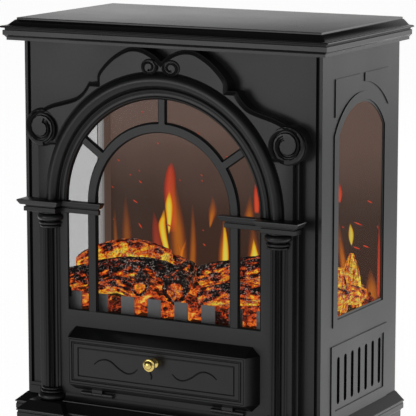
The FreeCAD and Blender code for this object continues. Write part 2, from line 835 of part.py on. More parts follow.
def make_spindle_motor():
    x0 = spindle_half + 8
    can = rod(spindle_motor_radius, (x0, spindle_y, spindle_z), (x0 + 15, spindle_y, spindle_z))
    foot = box(x0 + 2, x0 + 13, spindle_y - 6, spindle_y + 6, tray_top, spindle_z)
    bore = rod(spindle_radius + run_gap, (x0 - 1, spindle_y, spindle_z), (x0 + 10, spindle_y, spindle_z))
    return join([can, foot]).cut(bore)


def make_led_boards():
    boards = []
    for y0, y1 in ((screen_y + 4, body_back - 3), (88.0, 102.0)):
        board = box(-150, 150, y0, y1, tray_top, tray_top + 1.6)
        leds = [box(-140 + i * 20 - 2, -140 + i * 20 + 2, (y0 + y1) / 2 - 2, (y0 + y1) / 2 + 2,
                    tray_top + 1.5, tray_top + 2.6) for i in range(15)]
        boards.append(join([board] + leds))
    return Part.makeCompound(boards)


# ---- heater ----

def make_heater_duct():
    outer = box(-duct_half, duct_half, duct_front, duct_back, duct_bottom, duct_top)
    inner = box(-duct_half + 1, duct_half - 1, duct_front - 1, duct_back + 1, duct_bottom + 1, duct_top - 1)
    return outer.cut(inner)


def make_outlet_grille():
    front = middle_front - skirt_reach
    frame = box(-outlet_half, outlet_half, front, duct_front, outlet_bottom, outlet_top)
    hole = box(-outlet_half + 4, outlet_half - 4, front - 1, duct_front + 1,
               outlet_bottom + 4, outlet_top - 4)
    pieces = [frame.cut(hole)]
    pitch = (outlet_top - outlet_bottom - 8) / louvre_count
    for i in range(louvre_count):
        z = outlet_bottom + 4 + (i + 0.5) * pitch
        louvre = box(-outlet_half + 3, outlet_half - 3, front + 1.5, front + 7.5, z - 0.6, z + 0.6)
        louvre.rotate(Vec(0, front + 4.5, z), Vec(1, 0, 0), 24)
        pieces.append(louvre)
    return join(pieces)


def make_heating_element():
    half, y0, y1 = duct_half - 1, 58.0, 72.0
    z0, z1 = duct_bottom + 1, duct_top - 1
    frame = box(-half, half, y0, y1, z0, z1).cut(box(-half + 6, half - 6, y0 - 1, y1 + 1, z0 + 5, z1 - 5))
    pieces = [frame]
    rows = 5
    for i in range(rows):
        z = z0 + 5 + (i + 0.5) * (z1 - z0 - 10) / rows
        pieces.append(box(-half + 5, half - 5, y0 + 3, y1 - 3, z - 1.2, z + 1.2))
    return join(pieces)


def make_blower_wheel():
    ends = [rod(wheel_radius, (x, blower_y, blower_z), (x + 2, blower_y, blower_z))
            for x in (-wheel_half, wheel_half - 2)]
    pieces = ends + [rod(blower_shaft_radius, (-wheel_half - 6, blower_y, blower_z),
                         (wheel_half + 14, blower_y, blower_z))]
    for i in range(blade_count):
        blade = box(-wheel_half + 1, wheel_half - 1, blower_y - 0.4, blower_y + 0.4,
                    blower_z + wheel_radius - 7, blower_z + wheel_radius - 0.5)
        blade.rotate(Vec(0, blower_y, blower_z + wheel_radius - 4), Vec(1, 0, 0), 30)
        blade.rotate(Vec(0, blower_y, blower_z), Vec(1, 0, 0), 360.0 * i / blade_count)
        pieces.append(blade)
    return join(pieces)


def make_blower_housing():
    half = wheel_half + 5
    y1 = blower_y + wheel_radius + 8
    outer = box(-half, half, duct_back, y1, pan_z + sheet, blower_z + wheel_radius + 10)
    inner_half = wheel_half + 2
    well = rod(wheel_radius + blower_gap, (-inner_half, blower_y, blower_z), (inner_half, blower_y, blower_z))
    outlet = box(-inner_half, inner_half, duct_back - 1, blower_y, blower_z - 20, blower_z + 18)
    intake = box(-inner_half, inner_half, blower_y - 16, blower_y + 20, blower_z, blower_z + 60)
    bore = rod(blower_shaft_radius + run_gap, (-half - 1, blower_y, blower_z), (half + 1, blower_y, blower_z))
    return outer.cut([well, outlet, intake, bore])


def make_blower_motor():
    x0 = wheel_half + 5
    can = rod(blower_motor_radius, (x0, blower_y, blower_z), (x0 + 26, blower_y, blower_z))
    foot = box(x0 + 4, x0 + 22, blower_y - 14, blower_y + 14, pan_z + sheet, blower_z)
    bore = rod(blower_shaft_radius + run_gap, (x0 - 1, blower_y, blower_z), (x0 + 12, blower_y, blower_z))
    return join([can, foot]).cut(bore)


def make_thermal_cutout():
    x, y = 40.0, 70.0
    disc = rod(8, (x, y, duct_top), (x, y, duct_top + 5))
    ears = box(x - 14, x + 14, y - 4, y + 4, duct_top, duct_top + 1)
    tabs = [box(x + dx - 1, x + dx + 1, y - 3, y + 3, duct_top + 4, duct_top + 11) for dx in (-4, 4)]
    return join([disc, ears] + tabs)


def make_control_board():
    x0, x1, y0, y1 = -182.0, -124.0, 50.0, 150.0
    z0 = pan_z + sheet
    board = box(x0, x1, y0, y1, z0 + 5, z0 + 6.6)
    posts = [rod(3, (x, y, z0), (x, y, z0 + 5.5)) for x in (x0 + 5, x1 - 5) for y in (y0 + 5, y1 - 5)]
    relays = [box(x0 + 8 + i * 22, x0 + 26 + i * 22, y1 - 30, y1 - 14, z0 + 6, z0 + 22) for i in range(2)]
    transformer = box(x0 + 12, x0 + 44, y0 + 14, y0 + 42, z0 + 6, z0 + 32)
    capacitor = rod(6, (x1 - 10, y0 + 54, z0 + 6), (x1 - 10, y0 + 54, z0 + 24))
    return join([board, transformer, capacitor] + posts + relays)


def make_tip_switch_housing():
    z0 = pan_z + sheet
    body = box(switch_x - 10, switch_x + 10, switch_y - 10, switch_y + 10, z0, z0 + 30)
    bore = rod(plunger_radius + run_gap, (switch_x, switch_y, z0 - 1), (switch_x, switch_y, z0 + 24))
    return body.cut(bore)


def make_tip_switch_plunger():
    stem = rod(plunger_radius, (switch_x, switch_y, 4), (switch_x, switch_y, pan_z + sheet + 18))
    tip = Part.makeSphere(4.5, Vec(switch_x, switch_y, 4.5))
    return join([stem, tip])


def make_cable_gland():
    flange = rod(9, (gland_x, body_back, gland_z), (gland_x, body_back + screw_head_height, gland_z))
    barrel = rod(gland_radius, (gland_x, body_back - 12, gland_z), (gland_x, body_back, gland_z))
    nut = rod(8, (gland_x, body_back - 7, gland_z), (gland_x, body_back - sheet, gland_z))
    bore = rod(3.2, (gland_x, body_back - 20, gland_z), (gland_x, body_back + 5, gland_z))
    return join([flange, barrel, nut]).cut(bore)


def build_nodes():
    nodes = {
        "top_slab": make_top_slab(), "front_panel": make_front_panel(),
        "right_side_panel": make_right_side_panel(), "rear_panel": make_rear_panel(),
        "rear_screws": make_rear_screws(), "plinth_moulding": make_plinth_moulding(),
        "plinth_skirt": make_plinth_skirt(), "base_pan": make_base_pan(),
        "front_right_foot": make_foot(True), "rear_right_foot": make_foot(False),
        "front_facade": make_front_facade(), "arch_moulding": make_arch_moulding(),
        "window_muntins": make_window_muntins(), "front_glass": make_front_glass(),
        "glass_clips": make_glass_clips(), "right_side_glass": make_side_glass(),
        "right_entablature": make_right_entablature(), "right_column": make_right_column(),
        "pilaster_blocks": make_pilaster_blocks(),
        "control_flap": make_control_flap(), "flap_knob": make_flap_knob(),
        "flap_hinge_leaves": make_flap_hinge_leaves(), "flap_hinge_pins": make_flap_hinge_pins(),
        "control_panel": make_control_panel(), "switch_housings": make_switch_housings(),
        "power_rocker": make_rocker(rocker_xs[0]), "low_heat_rocker": make_rocker(rocker_xs[1]),
        "high_heat_rocker": make_rocker(rocker_xs[2]),
        "thermostat_dial": make_dial(thermostat_x, thermostat_radius),
        "thermostat_body": make_dial_body(thermostat_x, 13, 16),
        "dimmer_dial": make_dial(dimmer_x, dimmer_radius),
        "dimmer_body": make_dial_body(dimmer_x, 9, 11),
        "firebox_tray": make_firebox_tray(), "flame_screen": make_flame_screen(),
        "ember_bed": make_ember_bed(), "log_set": make_log_set(), "ember_fret": make_ember_fret(),
        "flame_spindle": make_flame_spindle(), "spindle_brackets": make_spindle_brackets(),
        "spindle_motor": make_spindle_motor(), "led_boards": make_led_boards(),
        "heater_duct": make_heater_duct(), "outlet_grille": make_outlet_grille(),
        "heating_element": make_heating_element(), "blower_wheel": make_blower_wheel(),
        "blower_housing": make_blower_housing(), "blower_motor": make_blower_motor(),
        "thermal_cutout": make_thermal_cutout(), "control_board": make_control_board(),
        "tip_switch_housing": make_tip_switch_housing(), "tip_switch_plunger": make_tip_switch_plunger(),
        "cable_gland": make_cable_gland(),
    }
    for name in [n for n in nodes if "right" in n]:
        nodes[name.replace("right", "left")] = mirrored(nodes[name])
    return nodes


def main():
    os.makedirs("parts", exist_ok=True)
    nodes = build_nodes()
    front = min(shape.BoundBox.YMin for shape in nodes.values())
    back = max(shape.BoundBox.YMax for shape in nodes.values())
    shift = Vec(0, -(front + back) / 2, 0)
    for name, shape in nodes.items():
        shape.translate(shift)
        shape.exportStep("parts/" + name + ".step")
        solids = len(shape.Solids)
        state = "ok" if shape.isValid() and shape.Volume > 0 else "BAD"
        print(name, state, solids, "solids", round(shape.Volume / 1000, 1), "cm3")
    print("Y shift", round(shift.y, 3))


main()
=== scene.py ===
import json
import math

import bmesh
import bpy
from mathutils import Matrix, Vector, noise
from mathutils.geometry import tessellate_polygon


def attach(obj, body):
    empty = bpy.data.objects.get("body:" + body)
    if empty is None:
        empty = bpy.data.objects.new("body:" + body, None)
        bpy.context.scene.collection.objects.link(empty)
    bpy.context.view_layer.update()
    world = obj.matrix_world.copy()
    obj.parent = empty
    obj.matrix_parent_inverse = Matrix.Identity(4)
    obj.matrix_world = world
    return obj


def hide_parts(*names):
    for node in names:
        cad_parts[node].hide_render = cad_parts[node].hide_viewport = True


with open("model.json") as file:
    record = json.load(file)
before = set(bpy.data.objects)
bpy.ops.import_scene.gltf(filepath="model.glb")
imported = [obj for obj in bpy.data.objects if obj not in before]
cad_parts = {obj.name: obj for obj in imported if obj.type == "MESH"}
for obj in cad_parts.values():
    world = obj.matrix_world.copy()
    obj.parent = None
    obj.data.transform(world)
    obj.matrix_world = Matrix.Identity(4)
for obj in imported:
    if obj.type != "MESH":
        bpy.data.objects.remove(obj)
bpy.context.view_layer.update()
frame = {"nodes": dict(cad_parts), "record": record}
mm = 0.001
stove = "stove"
white = (1.0, 1.0, 1.0)
print("frame loaded with", len(frame["nodes"]), "nodes")


# node trees

class Nodes:
    def __init__(self, tree):
        self.tree = tree

    def node(self, kind, **values):
        made = self.tree.nodes.new(kind)
        for key, value in values.items():
            setattr(made, key, value)
        return made

    def feed(self, socket, value):
        if isinstance(value, bpy.types.NodeSocket):
            self.tree.links.new(value, socket)
        else:
            socket.default_value = value

    def maths(self, operation, first, second=0.0):
        made = self.node("ShaderNodeMath", operation=operation)
        self.feed(made.inputs[0], first)
        self.feed(made.inputs[1], second)
        return made.outputs[0]

    def range(self, factor, low, high, fromLow=0.0, fromHigh=1.0):
        mapped = self.node("ShaderNodeMapRange")
        self.feed(mapped.inputs["Value"], factor)
        for name, value in zip(("From Min", "From Max", "To Min", "To Max"), (fromLow, fromHigh, low, high)):
            mapped.inputs[name].default_value = value
        return mapped.outputs[0]

    def ramp(self, factor, stops):
        ramp = self.node("ShaderNodeValToRGB")
        elements = ramp.color_ramp.elements
        elements[0].position, elements[1].position = stops[0][0], stops[-1][0]
        for position, colour in stops[1:-1]:
            elements.new(position)
        for element, (position, colour) in zip(elements, stops):
            element.color = (*colour, 1.0) if isinstance(colour, tuple) else (colour, colour, colour, 1.0)
        self.feed(ramp.inputs[0], factor)
        return ramp.outputs[0]

    def mix(self, factor, first, second, mode="MIX"):
        made = self.node("ShaderNodeMix", data_type="RGBA", blend_type=mode)
        for socket, value in zip((made.inputs[0], made.inputs[6], made.inputs[7]), (factor, first, second)):
            self.feed(socket, opaque(value))
        return made.outputs[2]

    def split(self, vector):
        parts = self.node("ShaderNodeSeparateXYZ")
        self.feed(parts.inputs[0], vector)
        return parts.outputs


def opaque(value):
    return (*value, 1.0) if isinstance(value, tuple) and len(value) == 3 else value


class Recipe(Nodes):
    # one procedural material, in object coordinates
    sockets = {"colour": "Base Color", "rough": "Roughness", "metal": "Metallic", "glow": "Emission Color",
               "glowPower": "Emission Strength", "specular": "Specular IOR Level"}

    def __init__(self, name):
        self.material = bpy.data.materials.new(name)
        self.material.use_nodes = True
        super().__init__(self.material.node_tree)
        self.tree.nodes.clear()
        self.output = self.node("ShaderNodeOutputMaterial")
        self.shader = self.node("ShaderNodeBsdfPrincipled")
        self.feed(self.output.inputs["Surface"], self.shader.outputs[0])
        self.place = self.node("ShaderNodeTexCoord").outputs["Object"]

    def stretched(self, scale):
        mapping = self.node("ShaderNodeMapping")
        self.feed(mapping.inputs["Vector"], self.place)
        mapping.inputs["Scale"].default_value = scale
        return mapping.outputs[0]

    def noise(self, scale, detail=3.0, rough=0.5, place=None, distortion=0.0):
        field = self.node("ShaderNodeTexNoise")
        for name, value in (("Vector", place or self.place), ("Scale", scale), ("Detail", detail),
                            ("Roughness", rough), ("Distortion", distortion)):
            self.feed(field.inputs[name], value)
        return field.outputs["Fac"]

    def cellEdges(self, scale):
        field = self.node("ShaderNodeTexVoronoi", feature="DISTANCE_TO_EDGE")
        self.feed(field.inputs["Vector"], self.place)
        field.inputs["Scale"].default_value = scale
        return field.outputs["Distance"]

    def attribute(self, name):
        return self.node("ShaderNodeAttribute", attribute_name=name).outputs["Fac"]

    def along(self, axis):
        return self.split(self.place)[axis]

    def bump(self, field, strength, distance):
        made = self.node("ShaderNodeBump")
        self.feed(made.inputs["Height"], field)
        made.inputs["Strength"].default_value = strength
        made.inputs["Distance"].default_value = distance
        self.feed(self.shader.inputs["Normal"], made.outputs[0])

    def set(self, **values):
        for key, value in values.items():
            self.feed(self.shader.inputs[self.sockets[key]], opaque(value))

    def seeThrough(self, solidShare, tint=white):
        clear, mixed = self.node("ShaderNodeBsdfTransparent"), self.node("ShaderNodeMixShader")
        clear.inputs[0].default_value = opaque(tint)
        for socket, value in zip(mixed.inputs, (solidShare, clear.outputs[0], self.shader.outputs[0])):
            self.feed(socket, value)
        self.feed(self.output.inputs["Surface"], mixed.outputs[0])


# materials

paintPatch = 9.0
blackAndWhite = [(0.0, 0.0), (1.0, 1.0)]


def paint(name, dark, light, rough, grainDepth=0.00004, grain=1400.0):
    recipe = Recipe(name)
    patches = recipe.noise(paintPatch, 4.0, 0.55)
    specks = recipe.noise(grain, 2.0, 0.6)
    colour = recipe.ramp(patches, [(0.3, dark), (0.7, light)])
    recipe.set(colour=colour, rough=recipe.range(patches, *rough, 0.3, 0.7))
    recipe.bump(specks, 0.5, grainDepth)
    return recipe.material


def metal(name, low, high, rough, brush, scale):
    recipe = Recipe(name)
    streaks = recipe.noise(scale, 4.0, 0.6, recipe.stretched(brush))
    recipe.set(colour=recipe.ramp(streaks, [(0.3, low), (0.7, high)]), metal=1.0,
               rough=recipe.range(streaks, *rough, 0.3, 0.7))
    recipe.bump(streaks, 0.25, 0.00005)
    return recipe.material


def plain(name, low, high, rough, scale):
    recipe = Recipe(name)
    field = recipe.noise(scale, 4.0, 0.6)
    recipe.set(colour=recipe.ramp(field, [(0.3, low), (0.7, high)]),
               rough=recipe.range(field, *rough, 0.3, 0.7))
    recipe.bump(field, 0.4, 0.00003)
    return recipe.material


glassLook = {"share": 0.035, "rough": 0.03, "smeared": 0.09, "colour": (0.01, 0.012, 0.012),
             "tint": (0.85, 0.85, 0.85)}


def glassMaterial(name):
    recipe = Recipe(name)
    smears = recipe.noise(14.0, 3.0, 0.6)
    recipe.set(colour=glassLook["colour"],
               rough=recipe.range(smears, glassLook["rough"], glassLook["smeared"], 0.35, 0.75))
    share = glassLook["share"]
    recipe.seeThrough(recipe.range(smears, share, share * 1.5, 0.3, 0.7), glassLook["tint"])
    return recipe.material


screenLook = {"bottom": 0.250, "top": 0.571, "base": (0.012, 0.009, 0.008),
              "stops": [(0.0, (0.040, 0.020, 0.014)), (0.3, (0.058, 0.032, 0.023)),
                        (0.62, (0.155, 0.097, 0.076)), (1.0, (0.178, 0.117, 0.098))]}


def screenMaterial(name):
    recipe = Recipe(name)
    rise = recipe.range(recipe.along("Z"), 0.0, 1.0, screenLook["bottom"], screenLook["top"])
    cloud = recipe.range(recipe.noise(7.0), -0.06, 0.06, 0.3, 0.7)
    glow = recipe.ramp(recipe.maths("ADD", rise, cloud), screenLook["stops"])
    recipe.set(colour=screenLook["base"], rough=0.6, glow=glow, glowPower=1.0)
    return recipe.material


barkLook = {"dark": [(0.35, (0.006, 0.005, 0.005)), (0.6, (0.035, 0.032, 0.030)), (0.75, (0.10, 0.095, 0.09))],
            "fire": [(0.30, (0.0, 0.0, 0.0)), (0.42, (0.14, 0.012, 0.005)), (0.56, (0.70, 0.07, 0.012)),
                     (0.70, (1.05, 0.19, 0.015)), (0.84, (1.1, 0.46, 0.025)), (1.0, (1.15, 0.82, 0.08))],
            "ash": (0.62, 0.60, 0.57), "ashHighlightGlow": (0.26, 0.21, 0.18)}


def barkMaterial(name):
    # charred bark: pale ash on the rims of its plates, dark seams, and fire that shows through; the ash rims also
    # glow a little, a painted highlight
    recipe = Recipe(name)
    maths, span = recipe.maths, recipe.range
    grain = recipe.noise(70.0, 4.0, 0.55, None, 1.4)
    fine = recipe.noise(420.0, 4.0, 0.65, None, 0.6)
    rims = span(recipe.cellEdges(62.0), 1.0, 0.0, 0.07, 0.26)
    fire = maths("ADD", recipe.attribute("warmth"), span(grain, -0.32, 0.34, 0.3, 0.7))
    fire = maths("ADD", fire, span(fine, -0.12, 0.12, 0.35, 0.65))
    ash = recipe.ramp(maths("MULTIPLY", span(fine, 0.0, 1.0, 0.53, 0.62), rims), [(0.2, 0.0), (0.8, 1.0)])
    dark = recipe.ramp(fine, barkLook["dark"])
    veins = maths("ABSOLUTE", maths("SUBTRACT", recipe.noise(105.0, 4.0, 0.6, None, 2.2), 0.5))
    seams = recipe.ramp(span(veins, 0.12, 1.0, 0.004, 0.045), blackAndWhite)
    lit = recipe.mix(1.0, recipe.ramp(fire, barkLook["fire"]), seams, "MULTIPLY")
    coolAsh = maths("MULTIPLY", ash, span(fire, 1.0, 0.25, 0.4, 0.8))
    recipe.set(colour=recipe.mix(coolAsh, dark, barkLook["ash"]), rough=0.85,
               glow=recipe.mix(maths("MULTIPLY", ash, 0.75), lit, barkLook["ashHighlightGlow"]), glowPower=1.0)
    recipe.bump(recipe.mix(0.5, grain, fine), 0.7, 0.0012)
    return recipe.material


emberLook = {"fire": [(0.08, (0.01, 0.002, 0.001)), (0.28, (0.26, 0.02, 0.007)), (0.46, (0.80, 0.09, 0.015)),
                      (0.66, (1.0, 0.25, 0.02)), (0.95, (1.05, 0.72, 0.12))],
             "coal": (0.02, 0.015, 0.012), "ash": (0.45, 0.42, 0.4), "ashHighlightGlow": (0.34, 0.25, 0.22)}


def emberMaterial(name):
    recipe = Recipe(name)
    grain = recipe.noise(110.0, 5.0, 0.65, None, 1.0)
    fire = recipe.maths("ADD", recipe.attribute("warmth"), recipe.range(grain, -0.5, 0.5, 0.3, 0.7))
    ash = recipe.range(recipe.noise(480.0, 3.0, 0.6), 0.0, 0.55, 0.60, 0.70)
    # the ash specks also glow a little, a painted highlight
    recipe.set(colour=recipe.mix(ash, emberLook["coal"], emberLook["ash"]), rough=0.85,
               glow=recipe.mix(ash, recipe.ramp(fire, emberLook["fire"]), emberLook["ashHighlightGlow"]), glowPower=1.0)
    recipe.bump(grain, 0.7, 0.001)
    return recipe.material


def flameMaterial(name, stops):
    # "body" runs from 0 at a flame's outline to 1 in its core
    recipe = Recipe(name)
    waves = recipe.noise(60.0, 3.0, 0.5, recipe.stretched((1.0, 1.0, 0.25)))
    waves = recipe.range(waves, -0.10, 0.10, 0.3, 0.7)
    level = recipe.maths("ADD", recipe.attribute("body"), waves)
    recipe.set(colour=(0.0, 0.0, 0.0), rough=1.0, specular=0.0, glow=recipe.ramp(level, stops), glowPower=1.0)
    recipe.seeThrough(recipe.attribute("cover"))
    return recipe.material


liningGlowLook = {"glow": 0.52, "from": 0.080, "to": 0.110, "base": (0.3, 0.3, 0.3),
              "edges": [(0.0, 1.0), (0.55, 1.0), (0.58, 0.45), (0.72, 0.45), (0.75, (0.21, 0.133, 0.104)),
                        (1.0, (0.21, 0.133, 0.104))]}


def liningGlowMaterial(name):
    # the pale inner sides of the firebox, glowing with painted light, and darkened by painted shade to a dim brown
    # where they pass behind the screen
    recipe = Recipe(name)
    depth = recipe.range(recipe.along("Y"), 0.0, 1.0, liningGlowLook["from"], liningGlowLook["to"])
    share = recipe.ramp(depth, liningGlowLook["edges"])
    haze = recipe.range(recipe.noise(16.0), 0.94, 1.06, 0.3, 0.7)
    light = recipe.mix(1.0, share, recipe.ramp(haze, blackAndWhite), "MULTIPLY")
    recipe.set(colour=recipe.mix(1.0, share, liningGlowLook["base"], "MULTIPLY"), rough=0.5, glow=light,
               glowPower=liningGlowLook["glow"])
    return recipe.material


# each look: its recipe, then what the recipe takes
lookTable = {
    "blackPaint": (paint, (0.008, 0.008, 0.0085), (0.012, 0.012, 0.0125), (0.30, 0.38)),
    "slabPaint": (paint, (0.004, 0.004, 0.004), (0.006, 0.006, 0.006), (0.22, 0.28), 0.00003, 900.0),
    "castPaint": (paint, (0.007, 0.007, 0.0075), (0.011, 0.011, 0.0115), (0.28, 0.36), 0.00005, 900.0),
    "innerPaint": (paint, (0.006, 0.006, 0.006), (0.010, 0.010, 0.010), (0.55, 0.7)),
    "fretPaint": (paint, (0.42, 0.42, 0.43), (0.50, 0.50, 0.51), (0.42, 0.52), 0.00005),
    "greyPaint": (paint, (0.10, 0.105, 0.11), (0.13, 0.135, 0.14), (0.4, 0.5)),
    "grooveShade": (plain, (0.001, 0.001, 0.001), (0.002, 0.002, 0.002), (0.85, 0.95), 300.0),
    "blackPlastic": (plain, (0.014, 0.014, 0.015), (0.020, 0.020, 0.021), (0.42, 0.55), 700.0),
    "controlPlastic": (plain, (0.030, 0.030, 0.033), (0.042, 0.042, 0.045), (0.3, 0.4), 900.0),
    "paleMark": (plain, (0.70, 0.70, 0.68), (0.82, 0.82, 0.80), (0.5, 0.6), 900.0),
    "redMark": (plain, (0.55, 0.03, 0.02), (0.65, 0.05, 0.03), (0.4, 0.5), 900.0),
    "ceramic": (plain, (0.62, 0.58, 0.50), (0.74, 0.70, 0.62), (0.6, 0.75), 160.0),
    "board": (plain, (0.010, 0.085, 0.035), (0.018, 0.13, 0.055), (0.3, 0.45), 260.0),
    "brass": (metal, (0.90, 0.66, 0.20), (1.0, 0.78, 0.28), (0.12, 0.20), (1.0, 1.0, 4.0), 300.0),
    "steel": (metal, (0.48, 0.49, 0.50), (0.62, 0.63, 0.64), (0.25, 0.38), (0.2, 1.0, 1.0), 240.0),
    "darkSteel": (metal, (0.16, 0.16, 0.17), (0.24, 0.24, 0.25), (0.35, 0.5), (0.2, 1.0, 1.0), 240.0),
    "windowGlass": (glassMaterial,), "smokedScreen": (screenMaterial,), "paleLining": (liningGlowMaterial,),
    "charredLog": (barkMaterial,), "glowingEmber": (emberMaterial,),
    "yellowFlame": (flameMaterial, [(0.0, (0.75, 0.10, 0.008)), (0.3, (1.0, 0.30, 0.012)),
                                    (0.6, (1.0, 0.62, 0.03)), (0.9, (1.0, 0.85, 0.12))]),
    "orangeFlame": (flameMaterial, [(0.0, (0.35, 0.05, 0.012)), (0.5, (0.62, 0.11, 0.015)),
                                    (0.9, (0.95, 0.26, 0.02))]),
    "redFlame": (flameMaterial, [(0.0, (0.28, 0.03, 0.015)), (0.5, (0.55, 0.055, 0.03)),
                                 (0.9, (0.85, 0.10, 0.04))]),
}
looks = {name: recipe(name, *values) for name, (recipe, *values) in lookTable.items()}
print("materials made:", len(looks))

slotLooks = {
    "black_paint": "blackPaint", "black_moulding": "castPaint", "black_plastic": "blackPlastic",
    "control_plastic": "controlPlastic", "window_glass": "windowGlass", "polished_brass": "brass",
    "smoked_screen": "smokedScreen", "charred_log": "charredLog", "glowing_ember": "glowingEmber",
    "grey_paint": "greyPaint", "plated_steel": "steel", "heater_ceramic": "ceramic", "circuit_board": "board",
}
# the material slot of each imported node, as the record lists it
slotOfNode = {part["node"]: part["material_slot"] for part in frame["record"]["subparts"]}
nodeLooks = {"firebox_tray": "innerPaint", "ember_fret": "fretPaint", "base_pan": "innerPaint",
             "heater_duct": "darkSteel", "blower_housing": "darkSteel"}


def lookOf(node):
    return nodeLooks.get(node, slotLooks[slotOfNode[node]])


for node, item in frame["nodes"].items():
    item.data.materials.clear()
    item.data.materials.append(looks[lookOf(node)])


# mesh helpers; a shape is a list of vertices and a list of faces

def solid(name, shape, look, body=stove, nodes=(), smooth=30.0, merge=True, attributes=None):
    mesh = bpy.data.meshes.new(name)
    mesh.from_pydata([tuple(v) for v in shape[0]], [], shape[1])
    mesh.update()
    for key, values in (attributes or {}).items():
        mesh.attributes.new(key, "FLOAT", "POINT").data.foreach_set("value", values)
    finished(name, mesh, look, body, nodes, smooth, merge)


def finished(name, mesh, look, body=stove, nodes=(), smooth=30.0, merge=True, outwards=True):
    work = bmesh.new()
    work.from_mesh(mesh)
    if merge:
        bmesh.ops.remove_doubles(work, verts=work.verts, dist=1e-6)
    if outwards:
        bmesh.ops.recalc_face_normals(work, faces=work.faces)
    for face in work.faces:
        face.smooth = True
    for edge in work.edges:
        edge.smooth = edge.calc_face_angle(0.0) < math.radians(smooth)
    work.to_mesh(mesh)
    work.free()
    placed(name, mesh, look, body, nodes)


def linked(name, data):
    item = bpy.data.objects.new(name, data)
    bpy.context.scene.collection.objects.link(item)
    return item


def placed(name, mesh, look, body, nodes):
    mesh.materials.clear()
    mesh.materials.append(looks[look])
    item = linked(name, mesh)
    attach(item, body)
    if nodes:
        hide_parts(*nodes)


def plainMesh(item, name):
    shown = item.evaluated_get(bpy.context.evaluated_depsgraph_get())
    mesh = bpy.data.meshes.new_from_object(shown)
    mesh.name = name
    bpy.data.objects.remove(item)
    return mesh


softening = {"merge": 2e-6, "flat": 0.6, "segments": 2, "sharp": 35.0, "weight": 100}


def softened(node, name, width, body=stove):
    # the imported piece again, with its loose triangles merged and its edges rounded
    mesh = frame["nodes"][node].data.copy()
    work = bmesh.new()
    work.from_mesh(mesh)
    bmesh.ops.remove_doubles(work, verts=work.verts, dist=softening["merge"])
    bmesh.ops.dissolve_limit(work, angle_limit=math.radians(softening["flat"]), verts=work.verts,
                             edges=work.edges)
    work.to_mesh(mesh)
    work.free()
    for attribute in [a.name for a in mesh.attributes if a.name.startswith(("custom_normal", "sharp"))]:
        mesh.attributes.remove(mesh.attributes[attribute])
    mesh.shade_smooth()
    item = linked(name, mesh)
    bevel = item.modifiers.new("edges", "BEVEL")
    bevel.width = width * mm
    bevel.segments = softening["segments"]
    bevel.limit_method = "ANGLE"
    bevel.angle_limit = math.radians(softening["sharp"])
    bevel.use_clamp_overlap = True
    bevel.miter_outer = "MITER_ARC"
    weighted = item.modifiers.new("normals", "WEIGHTED_NORMAL")
    weighted.weight = softening["weight"]
    weighted.keep_sharp = False
    placed(name, plainMesh(item, name), lookOf(node), body, [node])


def curve(points, steps=6):
    # a smooth line through points, by Catmull-Rom
    out, last = [], len(points) - 1
    for i in range(last):
        a, b, c, d = (Vector(points[min(max(k, 0), last)]) for k in (i - 1, i, i + 1, i + 2))
        for k in range(steps):
            t = k / steps
            out.append(0.5 * ((2 * b) + (c - a) * t + (2 * a - 5 * b + 4 * c - d) * t * t
                              + (3 * b - a - 3 * c + d) * t ** 3))
    return out + [Vector(points[-1])]


def arc(centre, radius, start, end, steps):
    turns = [math.radians(start + (end - start) * k / steps) for k in range(steps + 1)]
    return [Vector((centre[0] + radius * math.cos(t), centre[1] + radius * math.sin(t))) for t in turns]


def inset(loop, distance):
    # a closed counterclockwise line, moved inwards along its normals
    out, count = [], len(loop)
    for i in range(count):
        before = (loop[i] - loop[i - 1]).normalized()
        after = (loop[(i + 1) % count] - loop[i]).normalized()
        normal = Vector((-before.y - after.y, before.x + after.x))
        normal.normalize()
        stretch = 1.0 / max(0.55, math.sqrt(max(0.0, (1 + before.dot(after)) / 2)))
        out.append(loop[i] + normal * distance * stretch)
    return out


def counterclockwise(loop):
    area = sum(a.x * b.y - b.x * a.y for a, b in zip(loop, loop[1:] + loop[:1]))
    return loop if area > 0 else loop[::-1]


def walls(count, around, first=0):
    # the faces between one closed ring of vertices and the next
    pairs = [(first + k * around, i) for k in range(count - 1) for i in range(around)]
    return [(a + i, a + (i + 1) % around, a + (i + 1) % around + around, a + i + around) for a, i in pairs]


def rings(levels, first=0):
    # levels is a list of (loop in x and z, y); walls run from one to the next
    verts = [(p.x * mm, y * mm, p.y * mm) for loop, y in levels for p in loop]
    return verts, walls(len(levels), len(levels[0][0]), first)


def capped(loops, starts):
    # flat face over an outer line and its holes; starts are the first vertex index of each
    spots = [[Vector((p.x, p.y, 0.0)) for p in loop] for loop in loops]
    index = [start + i for loop, start in zip(loops, starts) for i in range(len(loop))]
    return [tuple(index[i] for i in triangle) for triangle in tessellate_polygon(spots)]


def plate(outline, holes, back, face, edge, holeBack=None):
    # a flat board with rounded rims, seen from the front, its walls going back
    verts, faces, fronts, starts = [], [], [], []
    for number, loop in enumerate([outline] + holes):
        loop = counterclockwise(list(loop))
        sign = 1.0 if number == 0 else -1.0
        deep = back if number == 0 or holeBack is None else holeBack
        levels = [(loop, deep), (loop, face + edge)]
        for turn in (math.radians(angle) for angle in (30.0, 60.0, 90.0)):
            levels.append((inset(loop, sign * edge * (1 - math.cos(turn))), face + edge * (1 - math.sin(turn))))
        v, f = rings(levels, len(verts))
        starts.append(len(verts) + 4 * len(loop))
        fronts.append(levels[-1][0])
        verts += v
        faces += f
    return verts, faces + capped(fronts, starts)


def lathe(profile, centre, axis, steps=64, end=360.0):
    # profile is (radius, along); axis is y or z
    count = steps if end >= 360.0 else steps + 1
    verts, faces = [], []
    for k in range(count):
        turn = math.radians(end * k / steps)
        c, s = math.cos(turn), math.sin(turn)
        for radius, along in profile:
            spot = (radius * c, along, radius * s) if axis == "y" else (radius * c, radius * s, along)
            verts.append(tuple((a + b) * mm for a, b in zip(spot, centre)))
    size = len(profile)
    for k in range(steps):
        a, b = k * size, ((k + 1) % count) * size
        faces += [(a + i, a + i + 1, b + i + 1, b + i) for i in range(size - 1)]
    return verts, faces


